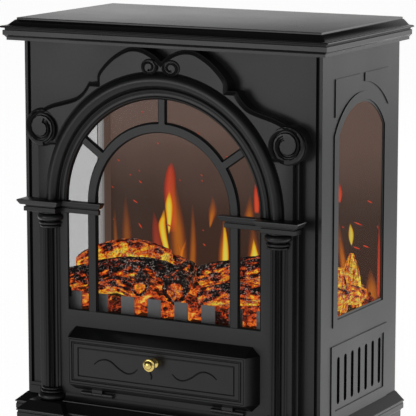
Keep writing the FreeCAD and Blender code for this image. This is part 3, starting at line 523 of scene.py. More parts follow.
def joined(*shapes):
    verts, faces = [], []
    for v, f in shapes:
        faces += [tuple(i + len(verts) for i in face) for face in f]
        verts += v
    return verts, faces


def tube(points, radius, sides=6, squash=1.0):
    # a rod along a line, closed at both ends; radius is one number or one for each point
    points = [Vector(p) for p in points]
    radii = radius if isinstance(radius, list) else [radius] * len(points)
    verts, across = [], None
    for i, point in enumerate(points):
        along = (points[min(i + 1, len(points) - 1)] - points[max(i - 1, 0)]).normalized()
        across = along.orthogonal().normalized() if across is None else across
        across = (across - along * across.dot(along)).normalized()
        up = along.cross(across)
        for k in range(sides):
            turn = 2 * math.pi * k / sides
            spot = point + (across * math.cos(turn) + up * math.sin(turn) * squash) * radii[i]
            verts.append(tuple(spot * mm))
    faces = walls(len(points), sides)
    return verts, faces + [tuple(range(sides))[::-1], tuple(range(len(verts) - sides, len(verts)))]


def moulded(profile, top, x0, x1, front, back):
    # a run of moulding on three sides; profile is (drop below top, outward reach)
    verts = []
    for drop, reach in profile:
        left, right, ahead, z = (x0 - reach) * mm, (x1 + reach) * mm, (front - reach) * mm, (top - drop) * mm
        verts += [(left, ahead, z), (right, ahead, z), (right, back * mm, z), (left, back * mm, z)]
    last = len(verts) - 4
    return verts, walls(len(profile), 4) + [(3, 2, 1, 0), (last, last + 1, last + 2, last + 3)]


# the slab, the entablatures and the plinth moulding
slab = {"height": 600.0, "half": 200.0, "front": -90.2, "back": 133.5,
        "line": [(0.0, -0.6), (0.15, -0.2), (0.6, 0.0), (2.4, 0.0), (2.6, 1.0), (2.9, 1.8), (8.8, 8.2), (9.0, 9.4),
                 (9.1, 12.6), (9.35, 13.8), (9.9, 14.7), (10.6, 15.0), (11.3, 14.8), (11.8, 14.0), (12.1, 12.6),
                 (12.3, 10.6), (14.2, 10.4), (14.4, 12.0), (14.8, 12.4), (20.0, 12.4), (20.5, 12.0), (20.8, 11.2),
                 (22.8, 9.6), (23.2, 9.0), (26.4, 9.0)]}
solid("topSlab", moulded(slab["line"], slab["height"], -slab["half"], slab["half"], slab["front"], slab["back"]),
      "slabPaint", nodes=["top_slab"], smooth=32.0)

cornice = {"top": 387.0, "back": -96.0, "outer": (137.7, 177.7, -110.7), "inner": (84.9, 150.0, -99.2),
           "innerShare": 0.875,
           "line": [(0.0, 7.2), (0.3, 7.8), (0.9, 8.0), (1.6, 8.0), (6.0, 5.2), (6.4, 4.6), (6.5, 0.4), (8.6, 0.2),
                    (8.8, 1.4), (9.2, 1.8), (14.0, 1.8), (14.5, 1.3)]}
for side, word in ((-1, "left"), (1, "right")):
    steps = []
    for (near, far, front), share in ((cornice["outer"], 1.0), (cornice["inner"], cornice["innerShare"])):
        profile = [(drop, reach * share) for drop, reach in cornice["line"]]
        ends = sorted((side * near, side * far))
        steps.append(moulded(profile, cornice["top"], *ends, front, cornice["back"]))
    solid(word + "Entablature", joined(*steps), "castPaint", nodes=[word + "_entablature"], smooth=32.0,
          merge=False)

plinth = {"top": 143.0,
          "line": [(0.0, 0.6), (0.3, 1.3), (9.5, 11.4), (9.8, 12.0), (10.4, 12.4), (11.0, 12.5), (11.7, 12.2),
                   (12.0, 11.4), (12.2, 11.0), (13.8, 11.0), (14.0, 11.4), (14.4, 11.7), (20.2, 11.7), (20.7, 11.2),
                   (20.9, 9.4), (23.7, 8.2)],
          "runs": [(-196.6, 196.6, -79.0, 132.8), (-125.0, 125.0, -104.8, -74.0), (130.3, 172.3, -114.8, -74.0),
                   (-172.3, -130.3, -114.8, -74.0)]}
solid("plinthMoulding", joined(*[moulded(plinth["line"], plinth["top"], *run) for run in plinth["runs"]]),
      "castPaint", nodes=["plinth_moulding"], smooth=32.0, merge=False)


# casing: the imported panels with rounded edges
casing = {"front_panel": ("frontPanel", 0.3), "left_side_panel": ("leftSidePanel", 0.35),
          "right_side_panel": ("rightSidePanel", 0.35),
          "plinth_skirt": ("plinthSkirt", 0.6), "window_muntins": ("windowMuntins", 0.7),
          "front_left_foot": ("frontLeftFoot", 0.8), "front_right_foot": ("frontRightFoot", 0.8),
          "rear_left_foot": ("rearLeftFoot", 0.8), "rear_right_foot": ("rearRightFoot", 0.8),
          "ember_fret": ("emberFret", 0.3), "outlet_grille": ("outletGrille", 0.3),
          "control_panel": ("controlPanel", 0.3)}
lining = {"panels": ("leftSidePanel", "rightSidePanel"), "square": 0.9, "outside": 0.1945, "above": 0.2}
for node, (name, width) in casing.items():
    softened(node, name, width)


def lined(face):
    # an inward face of a side panel, beside the firebox
    inward = abs(face.normal.x) > lining["square"] and face.normal.x * face.center.x < 0
    return inward and abs(face.center.x) > lining["outside"] and face.center.z > lining["above"]


for name in lining["panels"]:
    mesh = bpy.data.objects[name].data
    mesh.materials.append(looks["paleLining"])
    for face in mesh.polygons:
        face.material_index = 1 if lined(face) else face.material_index
print("casing softened")


# facade: a flat board, with a raised crest that ends in volutes
facade = {"half": 172.6, "bottom": 143.0, "face": -96.2, "back": -79.0, "crestFace": -99.0, "windowHalf": 128.5,
          "windowBottom": 255.0, "windowSpring": 387.0, "glassFront": -93.25, "step": 4.0, "stepFace": -88.2,
          "stepTop": 456.0, "controlHalf": 110.0, "controlLow": 174.0, "controlHigh": 221.0,
          "top": [(150, 486), (118, 498), (92, 515), (60, 534), (30, 546), (0, 550)]}
crestLook = {"chamfer": 4.2, "archRadius": 156.0, "shadeDepth": -95.9, "shade": 1.2,
             "hump": [(0, 557), (7, 562.6), (16, 567.8), (25, 571.2), (34, 572.4), (44, 571.2), (55, 566.2),
                      (66, 559.0), (76, 549.8), (83, 541.2), (85, 536.0), (85, 528.7)],
             "slope": [(97, 528.7), (101, 522.0), (106.5, 515.6), (113, 510.6), (120.5, 507.4), (133, 503.8),
                       (145.5, 500.4), (155, 496.6)],
             "archShades": ((157.3, -96.3, 0.9), (141.1, -97.4, 0.9), (135.7, -96.9, 0.5))}
# a scroll: its boss, then its groove, which runs from one turned angle to another
scrolls = {
    "big": {"x": 162.0, "z": 472.0, "radius": 21.9, "flip": 1, "base": 1.4, "relief": 3.6, "tall": 1.0,
            "groove": 22.0, "from": 190, "over": 510, "rim": 0.93, "wind": 0.52, "power": 1.15, "thick": 3.0,
            "shade": (195, 698)},
    "small": {"x": 14.4, "z": 551.4, "radius": 11.2, "flip": -1, "base": 0.8, "relief": 3.0, "tall": 0.86,
              "groove": 11.2, "from": 40, "over": 520, "rim": 0.93, "wind": 0.60, "power": 1.0, "thick": 2.0,
              "shade": (45, 555)},
}
cove = {"half": 133.0, "line": [(-96.0, 153.0), (-96.4, 152.4), (-97.0, 150.0), (-98.4, 147.6), (-100.6, 145.6),
                                (-102.6, 144.2), (-104.4, 143.8), (-104.6, 143.1), (-96.0, 143.1)]}


def box(x0, x1, low, high):
    return [Vector(p) for p in ((x0, low), (x1, low), (x1, high), (x0, high))]


def archLine(half, bottom, spring):
    return [Vector((-half, bottom)), Vector((half, bottom))] + arc((0, spring), half, 0, 180, 72)


def mirrored(points):
    return [Vector((-p.x, p.y)) for p in reversed(points)]


def flatFacade():
    f = facade
    half = f["half"] - f["step"]
    right = [Vector((half, f["bottom"])), Vector((half, 470))] + [Vector(p) for p in f["top"]]
    holes = [archLine(f["windowHalf"], f["windowBottom"], f["windowSpring"]),
             box(-f["controlHalf"], f["controlHalf"], f["controlLow"], f["controlHigh"])]
    return plate(right + mirrored(right[:-1]), holes, f["stepFace"], f["face"], 0.8, f["glassFront"])


def edgeStrip(side):
    # the lower step along both upright edges
    f = facade
    low, high = f["half"] - f["step"] - 4.0, f["half"]
    return plate(counterclockwise(box(side * low, side * high, f["bottom"], f["stepTop"])), [], f["back"],
                 f["stepFace"], 0.6)


def footCove():
    # the facade sweeps out onto the base below the flap
    line = cove["line"]
    verts = [(x * mm, y * mm, z * mm) for x in (-cove["half"], cove["half"]) for y, z in line]
    size = len(line)
    return verts, walls(2, size) + [tuple(range(size))[::-1], tuple(range(size, 2 * size))]


def crestLine():
    # the right half from the valley, round the volute, down to the arch and back to the middle
    volute = scrolls["big"]
    line = curve(crestLook["hump"][:-1], 5) + [Vector(crestLook["hump"][-1])] + curve(crestLook["slope"], 4)
    line += arc((volute["x"], volute["z"]), volute["groove"], 96, -118, 44)
    return line + arc((0, facade["windowSpring"]), crestLook["archRadius"], 25, 90, 40)


def crest():
    right = crestLine()
    outline = counterclockwise(right[:-1] + mirrored(right[1:]))
    top, chamfer = facade["crestFace"], crestLook["chamfer"]
    levels = [(outline, facade["back"]), (outline, top + 3.2), (inset(outline, 0.5), top + 2.6),
              (inset(outline, chamfer - 0.5), top + 0.35), (inset(outline, chamfer), top)]
    verts, faces = rings(levels)
    return verts, faces + capped([levels[-1][0]], [len(outline) * 4])


def grooveReach(scroll, angle):
    turned = angle - scroll["from"]
    if 0 <= turned <= scroll["over"]:
        wound = (turned / scroll["over"]) ** scroll["power"]
        return scroll["groove"] * (scroll["rim"] - scroll["wind"] * wound)
    return None


def grooveDepth(scroll, turn, reach):
    depth = 0.0
    for lap in range(3):
        line = grooveReach(scroll, turn + 360.0 * lap)
        if line is not None:
            near = abs(reach - line) / (scroll["radius"] * (0.15 - 0.02 * lap))
            depth = max(depth, max(0.0, 1 - near * near))
    return depth


def spiralDisc(scroll, side):
    # a round boss whose face is cut by the spiral groove
    count, around = 30, 96
    radius, relief, flip = scroll["radius"], scroll["relief"], side * scroll["flip"]
    x, z, base = side * scroll["x"], scroll["z"], facade["crestFace"] + scroll["base"]
    verts = []
    for j in range(count):
        reach = radius * (1 - j / count)
        dome = 0.25 + 0.75 * math.sqrt(max(0.0, 1 - (reach / radius) ** 6))
        for i in range(around):
            turn = 360.0 * i / around
            y = base - relief * dome + relief * grooveDepth(scroll, turn, reach)
            spin = math.radians(90.0 - turn)
            verts.append(((x + flip * reach * math.cos(spin)) * mm, y * mm,
                          (z + scroll["tall"] * reach * math.sin(spin)) * mm))
    last, hub = (count - 1) * around, len(verts)
    verts.append((x * mm, (base - relief) * mm, z * mm))
    faces = walls(count, around) + [(last + i, last + (i + 1) % around, hub) for i in range(around)]
    start = len(verts)
    verts += [(px, facade["back"] * mm, pz) for px, py, pz in verts[:around]]
    faces += [(start + i, start + (i + 1) % around, (i + 1) % around, i) for i in range(around)]
    return verts, faces


def spiralShade(scroll, side):
    # painted shade: a dark bead laid in the groove, swelling at its left and right
    (start, end), flip, face = scroll["shade"], side * scroll["flip"], facade["crestFace"] - 2.1
    points, radii = [], []
    for k in range(61):
        angle = start + (end - start) * k / 60
        spin = math.radians(90.0 - angle)
        reach = grooveReach(scroll, angle)
        points.append((side * scroll["x"] + flip * reach * math.cos(spin), face,
                       scroll["z"] + scroll["tall"] * reach * math.sin(spin)))
        swell = 0.30 + 0.70 * abs(math.cos(spin)) ** 1.5
        radii.append(scroll["thick"] * swell * min(1.0, 0.25 + k / 8, 0.2 + (60 - k) / 8))
    return tube(points, radii, 8, 0.35)


# dark beads in the scroll grooves, along the crest's outline and round the arch: painted shade
pairs = [(scroll, side) for side in (1, -1) for scroll in scrolls.values()]
shades = [spiralShade(*pair) for pair in pairs]
shades += [tube([(side * p.x, crestLook["shadeDepth"], p.y) for p in crestLine()[:-1]], crestLook["shade"])
           for side in (1, -1)]
shades += [tube([(p.x, y, p.y) for p in arc((0.0, facade["windowSpring"]), radius, 0, 180, 72)], thick)
           for radius, y, thick in crestLook["archShades"]]
solid("crestGrooves", joined(*shades), "grooveShade", smooth=60.0)
board = [flatFacade(), edgeStrip(1), edgeStrip(-1), crest(), footCove()] + [spiralDisc(*pair) for pair in pairs]
solid("frontFacade", joined(*board), "castPaint", nodes=["front_facade"], smooth=28.0)
print("facade made")


# a dark sealing strip under the glazing bars and round the window, a little wider than the bars, which also lays
# painted shade along their edges
sealShade = {"inner": 88.1, "outer": 100.9, "face": -95.2, "back": -93.3, "bar": 5.6, "start": 99.0,
        "angles": (35.0, 90.0, 145.0), "rim": 1.1}


def sealShadeShapes():
    q, f = sealShade, facade
    spring, low, half = f["windowSpring"], f["windowBottom"], f["windowHalf"]
    loops = [arc((0, spring), q["outer"], 0, 180, 60) + arc((0, spring), q["inner"], 180, 0, 60)]
    loops += [box(side * q["inner"], side * q["outer"], low, spring) for side in (1, -1)]
    middle = Vector((0, spring))
    for angle in q["angles"]:
        ahead = Vector((math.cos(math.radians(angle)), math.sin(math.radians(angle))))
        aside = Vector((-ahead.y, ahead.x)) * q["bar"]
        near, far = middle + ahead * q["start"], middle + ahead * half
        loops.append([near - aside, far - aside, far + aside, near + aside])
    shapes = [plate(counterclockwise(loop), [], q["back"], q["face"], 0.2) for loop in loops]
    rim = [(p.x, q["face"], p.y) for p in archLine(half - 0.4, low + 0.4, spring)]
    return shapes + [tube(rim + rim[:2], q["rim"])]


solid("windowSeal", joined(*sealShadeShapes()), "grooveShade", merge=False)
print("window seal laid")


# arch moulding: a half-round with a beaded inner ring, as (radius, depth from the facade's face)
archLook = {"middle": 149.0, "round": 8.0, "back": 3.0,
            "bead": [(140.4, 0.2), (140.0, -1.6), (139.2, -2.6), (138.2, -3.0), (137.2, -2.6), (136.6, -1.5),
                     (135.2, -0.9), (132.6, -0.9), (131.2, -1.3), (130.6, -2.2), (129.9, -2.5), (129.0, -2.2),
                     (128.6, -1.5), (128.5, 2.9)]}


def archMoulding():
    middle, thick, face = archLook["middle"], archLook["round"], facade["face"]
    profile = [(middle + thick, face + archLook["back"])]
    profile += [(middle + thick * math.cos(t), face - thick * math.sin(t))
                for t in [math.radians(a) for a in range(0, 181, 10)]]
    profile += [(radius, face + depth) for radius, depth in archLook["bead"]]
    verts, faces = lathe(profile, (0.0, 0.0, facade["windowSpring"]), "y", 128, 180.0)
    size = len(profile)
    return verts, faces + [tuple(range(size)), tuple(range(len(verts) - size, len(verts)))[::-1]]


solid("archMoulding", archMoulding(), "castPaint", nodes=["arch_moulding"], smooth=35.0)
print("arch moulding made")


class Growth(Nodes):
    # a geometry nodes tree with named inputs, whose result becomes a plain mesh
    def __init__(self, name, **inputs):
        super().__init__(bpy.data.node_groups.new(name, "GeometryNodeTree"))
        face = self.tree.interface
        face.new_socket("Geometry", in_out="INPUT", socket_type="NodeSocketGeometry")
        face.new_socket("Geometry", in_out="OUTPUT", socket_type="NodeSocketGeometry")
        for title, value in (*inputs.items(), ("Material", None)):
            kind = {int: "Int", float: "Float", bpy.types.Object: "Object"}.get(type(value), "Material")
            socket = face.new_socket(title, in_out="INPUT", socket_type="NodeSocket" + kind)
            if kind in ("Int", "Float"):
                socket.default_value = value
        self.inputs = inputs
        self.given = self.node("NodeGroupInput").outputs

    def closed(self, geometry):
        real, painted, done = (self.node(kind) for kind in (
            "GeometryNodeRealizeInstances", "GeometryNodeSetMaterial", "NodeGroupOutput"))
        self.feed(real.inputs[0], geometry)
        self.feed(painted.inputs["Geometry"], real.outputs[0])
        self.feed(painted.inputs["Material"], self.given["Material"])
        self.feed(done.inputs[0], painted.outputs[0])

    def run(self, item, look):
        modifier = item.modifiers.new("tree", "NODES")
        modifier.node_group = self.tree
        values = {**self.inputs, "Material": looks[look]}
        for socket in self.tree.interface.items_tree:
            if socket.in_out == "INPUT" and socket.name in values:
                modifier[socket.identifier] = values[socket.name]
        item.update_tag()
        bpy.context.view_layer.update()
        return plainMesh(item, item.name)


# columns: a geometry nodes tree flutes the shaft, lathed rings stand at both ends
column = {"x": 151.3, "y": -96.2, "shaft": 10.75, "flutes": 14, "depth": 2.1, "scoop": 0.7, "low": 158.5,
          "high": 353.4, "cut": 0.3, "shadeAt": 0.25, "shade": 0.5, "shadeFrom": -0.15}


def flutedShaft():
    c = column
    growth = Growth("flutedShaft", Radius=c["shaft"] * mm, Depth=c["depth"] * mm,
                    Height=(c["high"] - c["low"]) * mm, Flutes=c["flutes"])
    maths, given = growth.maths, growth.given
    shaft = growth.node("GeometryNodeMeshCylinder", fill_type="NONE")
    shaft.inputs["Vertices"].default_value = c["flutes"] * 12
    growth.feed(shaft.inputs["Radius"], given["Radius"])
    growth.feed(shaft.inputs["Depth"], given["Height"])
    x, y, z = growth.split(growth.node("GeometryNodeInputPosition").outputs[0])
    turn = maths("MULTIPLY", maths("MULTIPLY", maths("ARCTAN2", y, x), given["Flutes"]), 0.5)
    scoop = maths("POWER", maths("ABSOLUTE", maths("SINE", turn)), c["scoop"])
    share = maths("SUBTRACT", 1.0, maths("DIVIDE", maths("MULTIPLY", scoop, given["Depth"]), given["Radius"]))
    spot, move = growth.node("ShaderNodeCombineXYZ"), growth.node("GeometryNodeSetPosition")
    for socket, value in zip(spot.inputs, (maths("MULTIPLY", x, share), maths("MULTIPLY", y, share), z)):
        growth.feed(socket, value)
    growth.feed(move.inputs["Geometry"], shaft.outputs["Mesh"])
    growth.feed(move.inputs["Position"], spot.outputs[0])
    growth.closed(move.outputs[0])
    mesh = growth.run(linked("shaftWork", bpy.data.meshes.new("shaftWork")), "castPaint")
    return [v.co.copy() for v in mesh.vertices], [tuple(p.vertices) for p in mesh.polygons]


def roundEnd(low, high, radius):
    # part of a turned ring, as points of its outline
    mid, half = (low + high) / 2, (high - low) / 2
    return [(radius - half + half * math.sin(math.radians(a)), mid - half * math.cos(math.radians(a)))
            for a in range(0, 181, 20)]


columnBase = [(0.0, 143.0), (16.4, 143.0)] + roundEnd(143.2, 151.4, 17.6) + [(12.0, 151.7)]
columnBase += roundEnd(151.9, 155.2, 14.4) + [(11.0, 155.4)] + roundEnd(155.6, 158.4, 12.8)
columnBase += [(10.4, 158.8), (0.0, 158.8)]
columnCap = [(0.0, 353.0), (10.4, 353.0)] + roundEnd(353.4, 356.4, 13.4) + [(10.8, 356.7)]
columnCap += roundEnd(357.0, 360.8, 14.6) + [(11.2, 361.1), (11.2, 361.6)] + roundEnd(361.8, 370.2, 16.6)
columnCap += [(13.0, 370.6), (13.0, 372.4), (0.0, 372.4)]


def frontHalf(mesh, y):
    work = bmesh.new()
    work.from_mesh(mesh)
    bmesh.ops.bisect_plane(work, geom=work.verts[:] + work.edges[:] + work.faces[:], plane_co=(0, y * mm, 0),
                           plane_no=(0, 1, 0), clear_outer=True)
    work.to_mesh(mesh)
    work.free()


def fluteShades(side):
    # dark lines at the bottom of the flutes that face the front
    c = column
    reach, lines = c["shaft"] - c["depth"] + c["shadeAt"], []
    for k in range(c["flutes"]):
        turn = math.radians((2 * k + 1) * 180.0 / c["flutes"])
        x, y = side * c["x"] + reach * math.cos(turn), c["y"] + reach * math.sin(turn)
        if math.sin(turn) < c["shadeFrom"]:
            lines.append(tube([(x, y, c["low"]), (x, y, c["high"])], c["shade"]))
    return lines


solid("fluteShades", joined(*fluteShades(1), *fluteShades(-1)), "grooveShade", merge=False)
shaftVerts, shaftFaces = flutedShaft()
for side, word in ((-1, "left"), (1, "right")):
    middle = Vector((side * column["x"], column["y"], (column["high"] + column["low"]) / 2))
    place = (side * column["x"], column["y"], 0.0)
    shaft = ([tuple(v + middle * mm) for v in shaftVerts], shaftFaces)
    verts, faces = joined(shaft, lathe(columnBase, place, "z", 72), lathe(columnCap, place, "z", 72))
    mesh = bpy.data.meshes.new(word + "Column")
    mesh.from_pydata(verts, [], faces)
    frontHalf(mesh, facade["face"] + column["cut"])
    finished(word + "Column", mesh, "castPaint", nodes=[word + "_column"], smooth=38.0)
print("columns fluted")


# control flap: the imported flap with rounded edges, wavy grooves and frame lines laid in as thin dark beads of
# painted shade
flap = {"face": -115.2, "groove": 1.15, "grooveLift": 0.12, "line": 0.5, "lineLift": 0.15, "half": 118.0,
        "low": 169.0, "high": 225.5, "frames": [(1.6, 1.6), (4.7, 4.7), (7.4, 6.6), (13.4, 10.9)],
        "wave": [(-81.7, 196.5), (-75.7, 201.2), (-67.1, 203.6), (-58.6, 201.7), (-48.4, 194.7), (-38.2, 190.3),
                 (-29.8, 191.4), (-23.0, 196.7)],
        "squiggle": [(-6.9, 200.6), (-7.0, 197.6), (-6.0, 194.6), (-4.4, 191.6), (-4.2, 189.0), (-5.4, 186.6)]}
softened("control_flap", "controlFlap", 0.45, "flap")


def grooveLine(points):
    line = [Vector((p.x, flap["face"] + flap["grooveLift"], p.y)) for p in curve(points)]
    shares = [min(1.0, max(0.06, i / (len(line) - 1))) for i in range(len(line))]
    return tube(line, [flap["groove"] * (0.35 + 0.65 * math.sin(math.pi * t) ** 0.4) for t in shares])


def frameLines(dx, dz):
    x, y, low, high = flap["half"] - dx, flap["face"] + flap["lineLift"], flap["low"] + dz, flap["high"] - dz
    corners = [(p.x, y, p.y) for p in box(-x, x, low, high)]
    return [tube([a, b], flap["line"]) for a, b in zip(corners, corners[1:] + corners[:1])]


waves = [grooveLine(line) for line in (flap["wave"], [(-x, z) for x, z in flap["wave"]], flap["squiggle"])]
waves += [line for frameSize in flap["frames"] for line in frameLines(*frameSize)]
solid("flapWaves", joined(*waves), "grooveShade", "flap", merge=False)

# brass knob: a stepped turned button, as (radius, depth behind its front)
knob = {"z": 207.5, "front": -133.8,
        "line": [(0.0, 0.0), (1.6, 0.1), (3.0, 0.5), (4.2, 1.3), (4.9, 2.3), (5.1, 3.2), (5.6, 3.7), (6.8, 3.9),
                 (7.6, 4.5), (7.8, 5.5), (7.5, 6.7), (6.4, 7.6), (4.6, 8.3), (3.6, 9.6), (3.2, 11.6), (3.4, 13.6),
                 (4.6, 15.2), (5.8, 16.4), (6.0, 17.4), (5.8, 18.5), (0.0, 18.5)]}
knobLine = [(radius, knob["front"] + depth) for radius, depth in knob["line"]]
solid("flapKnob", lathe(knobLine, (0.0, 0.0, knob["z"]), "y"), "brass", "flap", ["flap_knob"])
print("flap and knob made")


# marks of the controls behind the flap: scales round the dials, a line on each dial, a bar and a ring on
# each rocker
marks = {"plate": -77.95, "z": 197.0, "front": -91.25, "start": 225.0, "sweep": 270.0, "count": 11, "thin": 0.35,
         "short": 3.4, "long": 4.4, "gap": 2.0, "pointer": (0.35, 0.85),
         "dials": (("thermostat", 38.0, 14.0), ("flame_dimmer", 82.0, 10.0)),
         "offset": 4.5, "bar": (2.8, 6.2), "ring": 1.7, "ringThin": 0.28, "lift": 0.05,
         "rockers": (("power_rocker", "power_switch", -84.0, "redMark"),
                     ("low_heat_rocker", "low_heat_switch", -48.0, "paleMark"),
                     ("high_heat_rocker", "high_heat_switch", -12.0, "paleMark"))}


def ray(angle, x, inner, outer, y):
    c, s, z = math.cos(math.radians(angle)), math.sin(math.radians(angle)), marks["z"]
    return tube([(x + inner * c, y, z + inner * s), (x + outer * c, y, z + outer * s)], marks["thin"])


def surfaceAt(node, x, z):
    item = frame["nodes"][node]
    back = item.matrix_world.inverted()
    start, ahead = back @ Vector((x * mm, -0.2, z * mm)), back.to_3x3() @ Vector((0.0, 1.0, 0.0))
    hit, spot, normal, face = item.ray_cast(start, ahead)
    return (item.matrix_world @ spot).y / mm - marks["lift"]


scale = []
for body, x, radius in marks["dials"]:
    for k in range(marks["count"]):
        angle = marks["start"] - marks["sweep"] * k / (marks["count"] - 1)
        end = radius + (marks["long"] if k % 5 == 0 else marks["short"])
        scale.append(ray(angle, x, radius + marks["gap"], end, marks["plate"]))
    inner, outer = (radius * share for share in marks["pointer"])
    solid(body + "Mark", ray(marks["start"], x, inner, outer, marks["front"]), "paleMark", body)
solid("dialScales", joined(*scale), "paleMark", merge=False)
for node, body, x, look in marks["rockers"]:
    z, offset = marks["z"], marks["offset"]
    high, low = surfaceAt(node, x, z + offset), surfaceAt(node, x, z - offset)
    ring = [(x + p.x, low, z - offset + p.y) for p in arc((0.0, 0.0), marks["ring"], 0, 360, 20)]
    bar = tube([(x, high, z + share) for share in marks["bar"]], marks["thin"])
    solid(body + "Mark", joined(bar, tube(ring, marks["ringThin"])), look, body, merge=False)
print("control marks laid")


# logs: bent trunks with bark ridges, cracks and dished cut ends
logs = [
    # centre line (x, y, z), radii at its start, middle and end, heat, seed
    ([(-184, 26, 280), (-160, 30, 293), (-128, 34, 302), (-98, 32, 302), (-64, 28, 298)], (13, 19, 15), 0.68, 1),
    ([(-172, -30, 276), (-140, -26, 284), (-104, -20, 293), (-66, -14, 296), (-36, -16, 291), (-18, -22, 280)],
     (11, 15, 12), 0.30, 2),
    ([(-128, -44, 268), (-108, -46, 276), (-84, -46, 279), (-62, -48, 272)], (9, 11, 9), 0.46, 3),
    ([(-3, -61, 282), (-12, -38, 284), (-22, -12, 287), (-30, 20, 290)], (15, 15, 13), 0.34, 4),
    ([(-51, -61, 281), (-60, -40, 283), (-72, -18, 286)], (10, 10, 9), 0.34, 10),
    ([(-2, 2, 290), (26, 4, 296), (58, 12, 302), (92, 20, 304), (126, 24, 300)], (12, 15, 13), 0.38, 5),
    ([(24, -44, 272), (46, -42, 279), (76, -40, 283), (108, -36, 281), (140, -34, 274)], (12, 14, 11), 0.46, 6),
    ([(128, -20, 270), (146, 20, 279), (160, 50, 282), (170, 88, 270)], (12, 15, 10), 0.70, 7),
    ([(164, 60, 262), (168, 60, 285), (170, 60, 305), (170, 60, 323)], (17, 13, 2.5), 0.76, 11),
    ([(168, 18, 262), (173, 17, 288), (175, 15, 313)], (13, 12, 5), 0.74, 12),
    ([(168, -48, 268), (172, -14, 276), (176, 22, 280), (178, 60, 272)], (10, 13, 10), 0.70, 8),
    ([(-178, 66, 270), (-140, 74, 282), (-96, 76, 286), (-52, 72, 278)], (11, 13, 10), 0.50, 9),
]
bark = {"around": 64, "along": 2.2, "ridge": 0.16, "lump": 0.16, "grain": 0.06, "endGirth": 0.93,
        "dish": 1.6, "rough": 1.1, "hub": 1.5}


def reaches(path):
    lengths = [0.0]
    for a, b in zip(path, path[1:]):
        lengths.append(lengths[-1] + (b - a).length)
    return lengths


def walked(path, steps):
    # equal steps along a path, each with its reach, point and direction
    lengths = reaches(path)
    for i in range(steps + 1):
        reach = lengths[-1] * i / steps
        k = next((n for n in range(1, len(path)) if lengths[n] >= reach - 1e-6), len(path) - 1)
        t = (reach - lengths[k - 1]) / (lengths[k] - lengths[k - 1])
        yield reach, path[k - 1].lerp(path[k], t), (path[k] - path[k - 1]).normalized()


def logShape(line, radii, heat, seed):
    path = curve(line, 8)
    steps, around = int(reaches(path)[-1] / bark["along"]), bark["around"]
    verts, warmAndUnderlit, across = [], [], None
    shift = Vector((seed * 7.3, seed * 3.1, seed * 5.7))
    for i, (reach, point, along) in enumerate(walked(path, steps)):
        across = across or along.cross(Vector((0, 0, 1))).normalized()
        across = (across - along * across.dot(along)).normalized()
        up = across.cross(along)
        u = i / steps
        girth = radii[0] * (1 - u) ** 2 + 2 * radii[1] * u * (1 - u) + radii[2] * u ** 2
        girth = girth if 0.0 < u < 1.0 else girth * bark["endGirth"]
        for j in range(around):
            c, s = math.cos(2 * math.pi * j / around), math.sin(2 * math.pi * j / around)
            out = across * c + up * s

            def field(stretch, round):
                return noise.noise(Vector((reach * stretch, c * round, s * round)) + shift)

            plates = noise.noise((Vector((reach * 0.028, c * 1.5, s * 1.5)) + shift) * 2.4)
            ridge = abs(field(0.045, 4.2))
            raised = 0.55 - 2.1 * (0.28 - min(ridge, 0.28))
            grow = (1 + bark["lump"] * field(0.02, 1.0) + bark["ridge"] * raised
                    + bark["grain"] * field(0.16, 9.0))
            verts.append(tuple((point + out * girth * grow) * mm))
            # the glow grows on the undersides and fades on top: painted light from the embers below
            warmAndUnderlit.append(heat - 0.28 * out.z + 0.34 * (1 - min(1.0, ridge / 0.13)) + 0.55 * plates)
    faces = walls(steps + 1, around)
    for end, sign in ((0, 1), (steps, -1)):
        # a cut end: three rings in, then a hub, with a shallow dish
        ring = rim = list(range(end * around, end * around + around))
        centre = sum((Vector(verts[i]) for i in rim), Vector()) / around
        push = (path[1] - path[0] if end == 0 else path[-2] - path[-1]).normalized() * mm
        for share in (0.86, 0.6, 0.3):
            new = list(range(len(verts), len(verts) + around))
            for i in rim:
                spot = centre.lerp(Vector(verts[i]), share)
                rough = noise.noise(spot * 400 + shift)
                verts.append(tuple(spot + push * (bark["dish"] + bark["rough"] * rough)))
                warmAndUnderlit.append(heat + (0.34 if share < 0.8 else -0.2) + 0.25 * rough)
            faces += [(ring[n], ring[(n + 1) % around], new[(n + 1) % around], new[n])[::sign]
                      for n in range(around)]
            ring = new
        verts.append(tuple(centre + push * bark["hub"]))
        warmAndUnderlit.append(heat + 0.4)
        faces += [(ring[n], ring[(n + 1) % around], len(verts) - 1)[::sign] for n in range(around)]
    return (verts, faces), warmAndUnderlit


trunks = [logShape(*log) for log in logs]
verts, faces = joined(*[shape for shape, warmAndUnderlit in trunks])
solid("logSet", (verts, faces), "charredLog", nodes=["log_set"], smooth=60.0, merge=False,
      attributes={"warmth": [value for shape, warmAndUnderlit in trunks for value in warmAndUnderlit]})
print("logs carved:", len(faces), "faces")


# ember bed: a rolling floor, and lumps of coal scattered over it by a geometry nodes tree
embers = {"half": 184.0, "front": -70.0, "back": 106.0, "floor": 254.0, "rise": 11.0, "cell": 5.0,
          "slope": 26.0, "edge": 14.0, "wave": 3.2, "apart": 0.0062, "flat": 0.72,
          "density": 26000.0, "smallest": 0.0026, "largest": 0.0068, "seed": 4}


def bedHeight(x, y):
    slope = min(1.0, max(0.0, (y - embers["front"]) / embers["slope"]))
    edge = min(1.0, (embers["half"] - abs(x)) / embers["edge"])
    wave = noise.noise(Vector((x * 0.03, y * 0.03, 3.0))) + 0.5 * noise.noise(Vector((x * 0.09, y * 0.09, 8.0)))
    return embers["floor"] + embers["rise"] * slope * max(edge, 0.2) + embers["wave"] * wave


def bedMesh():
    half, front, deep = embers["half"], embers["front"], embers["back"] - embers["front"]
    columns, rows = int(2 * half / embers["cell"]), int(deep / embers["cell"])
    spots = [(-half + 2 * half * i / columns, front + deep * j / rows)
             for j in range(rows + 1) for i in range(columns + 1)]
    corners = [j * (columns + 1) + i for j in range(rows) for i in range(columns)]
    mesh = bpy.data.meshes.new("bedWork")
    mesh.from_pydata([(x * mm, y * mm, bedHeight(x, y) * mm) for x, y in spots], [],
                     [(a, a + 1, a + columns + 2, a + columns + 1) for a in corners])
    return mesh


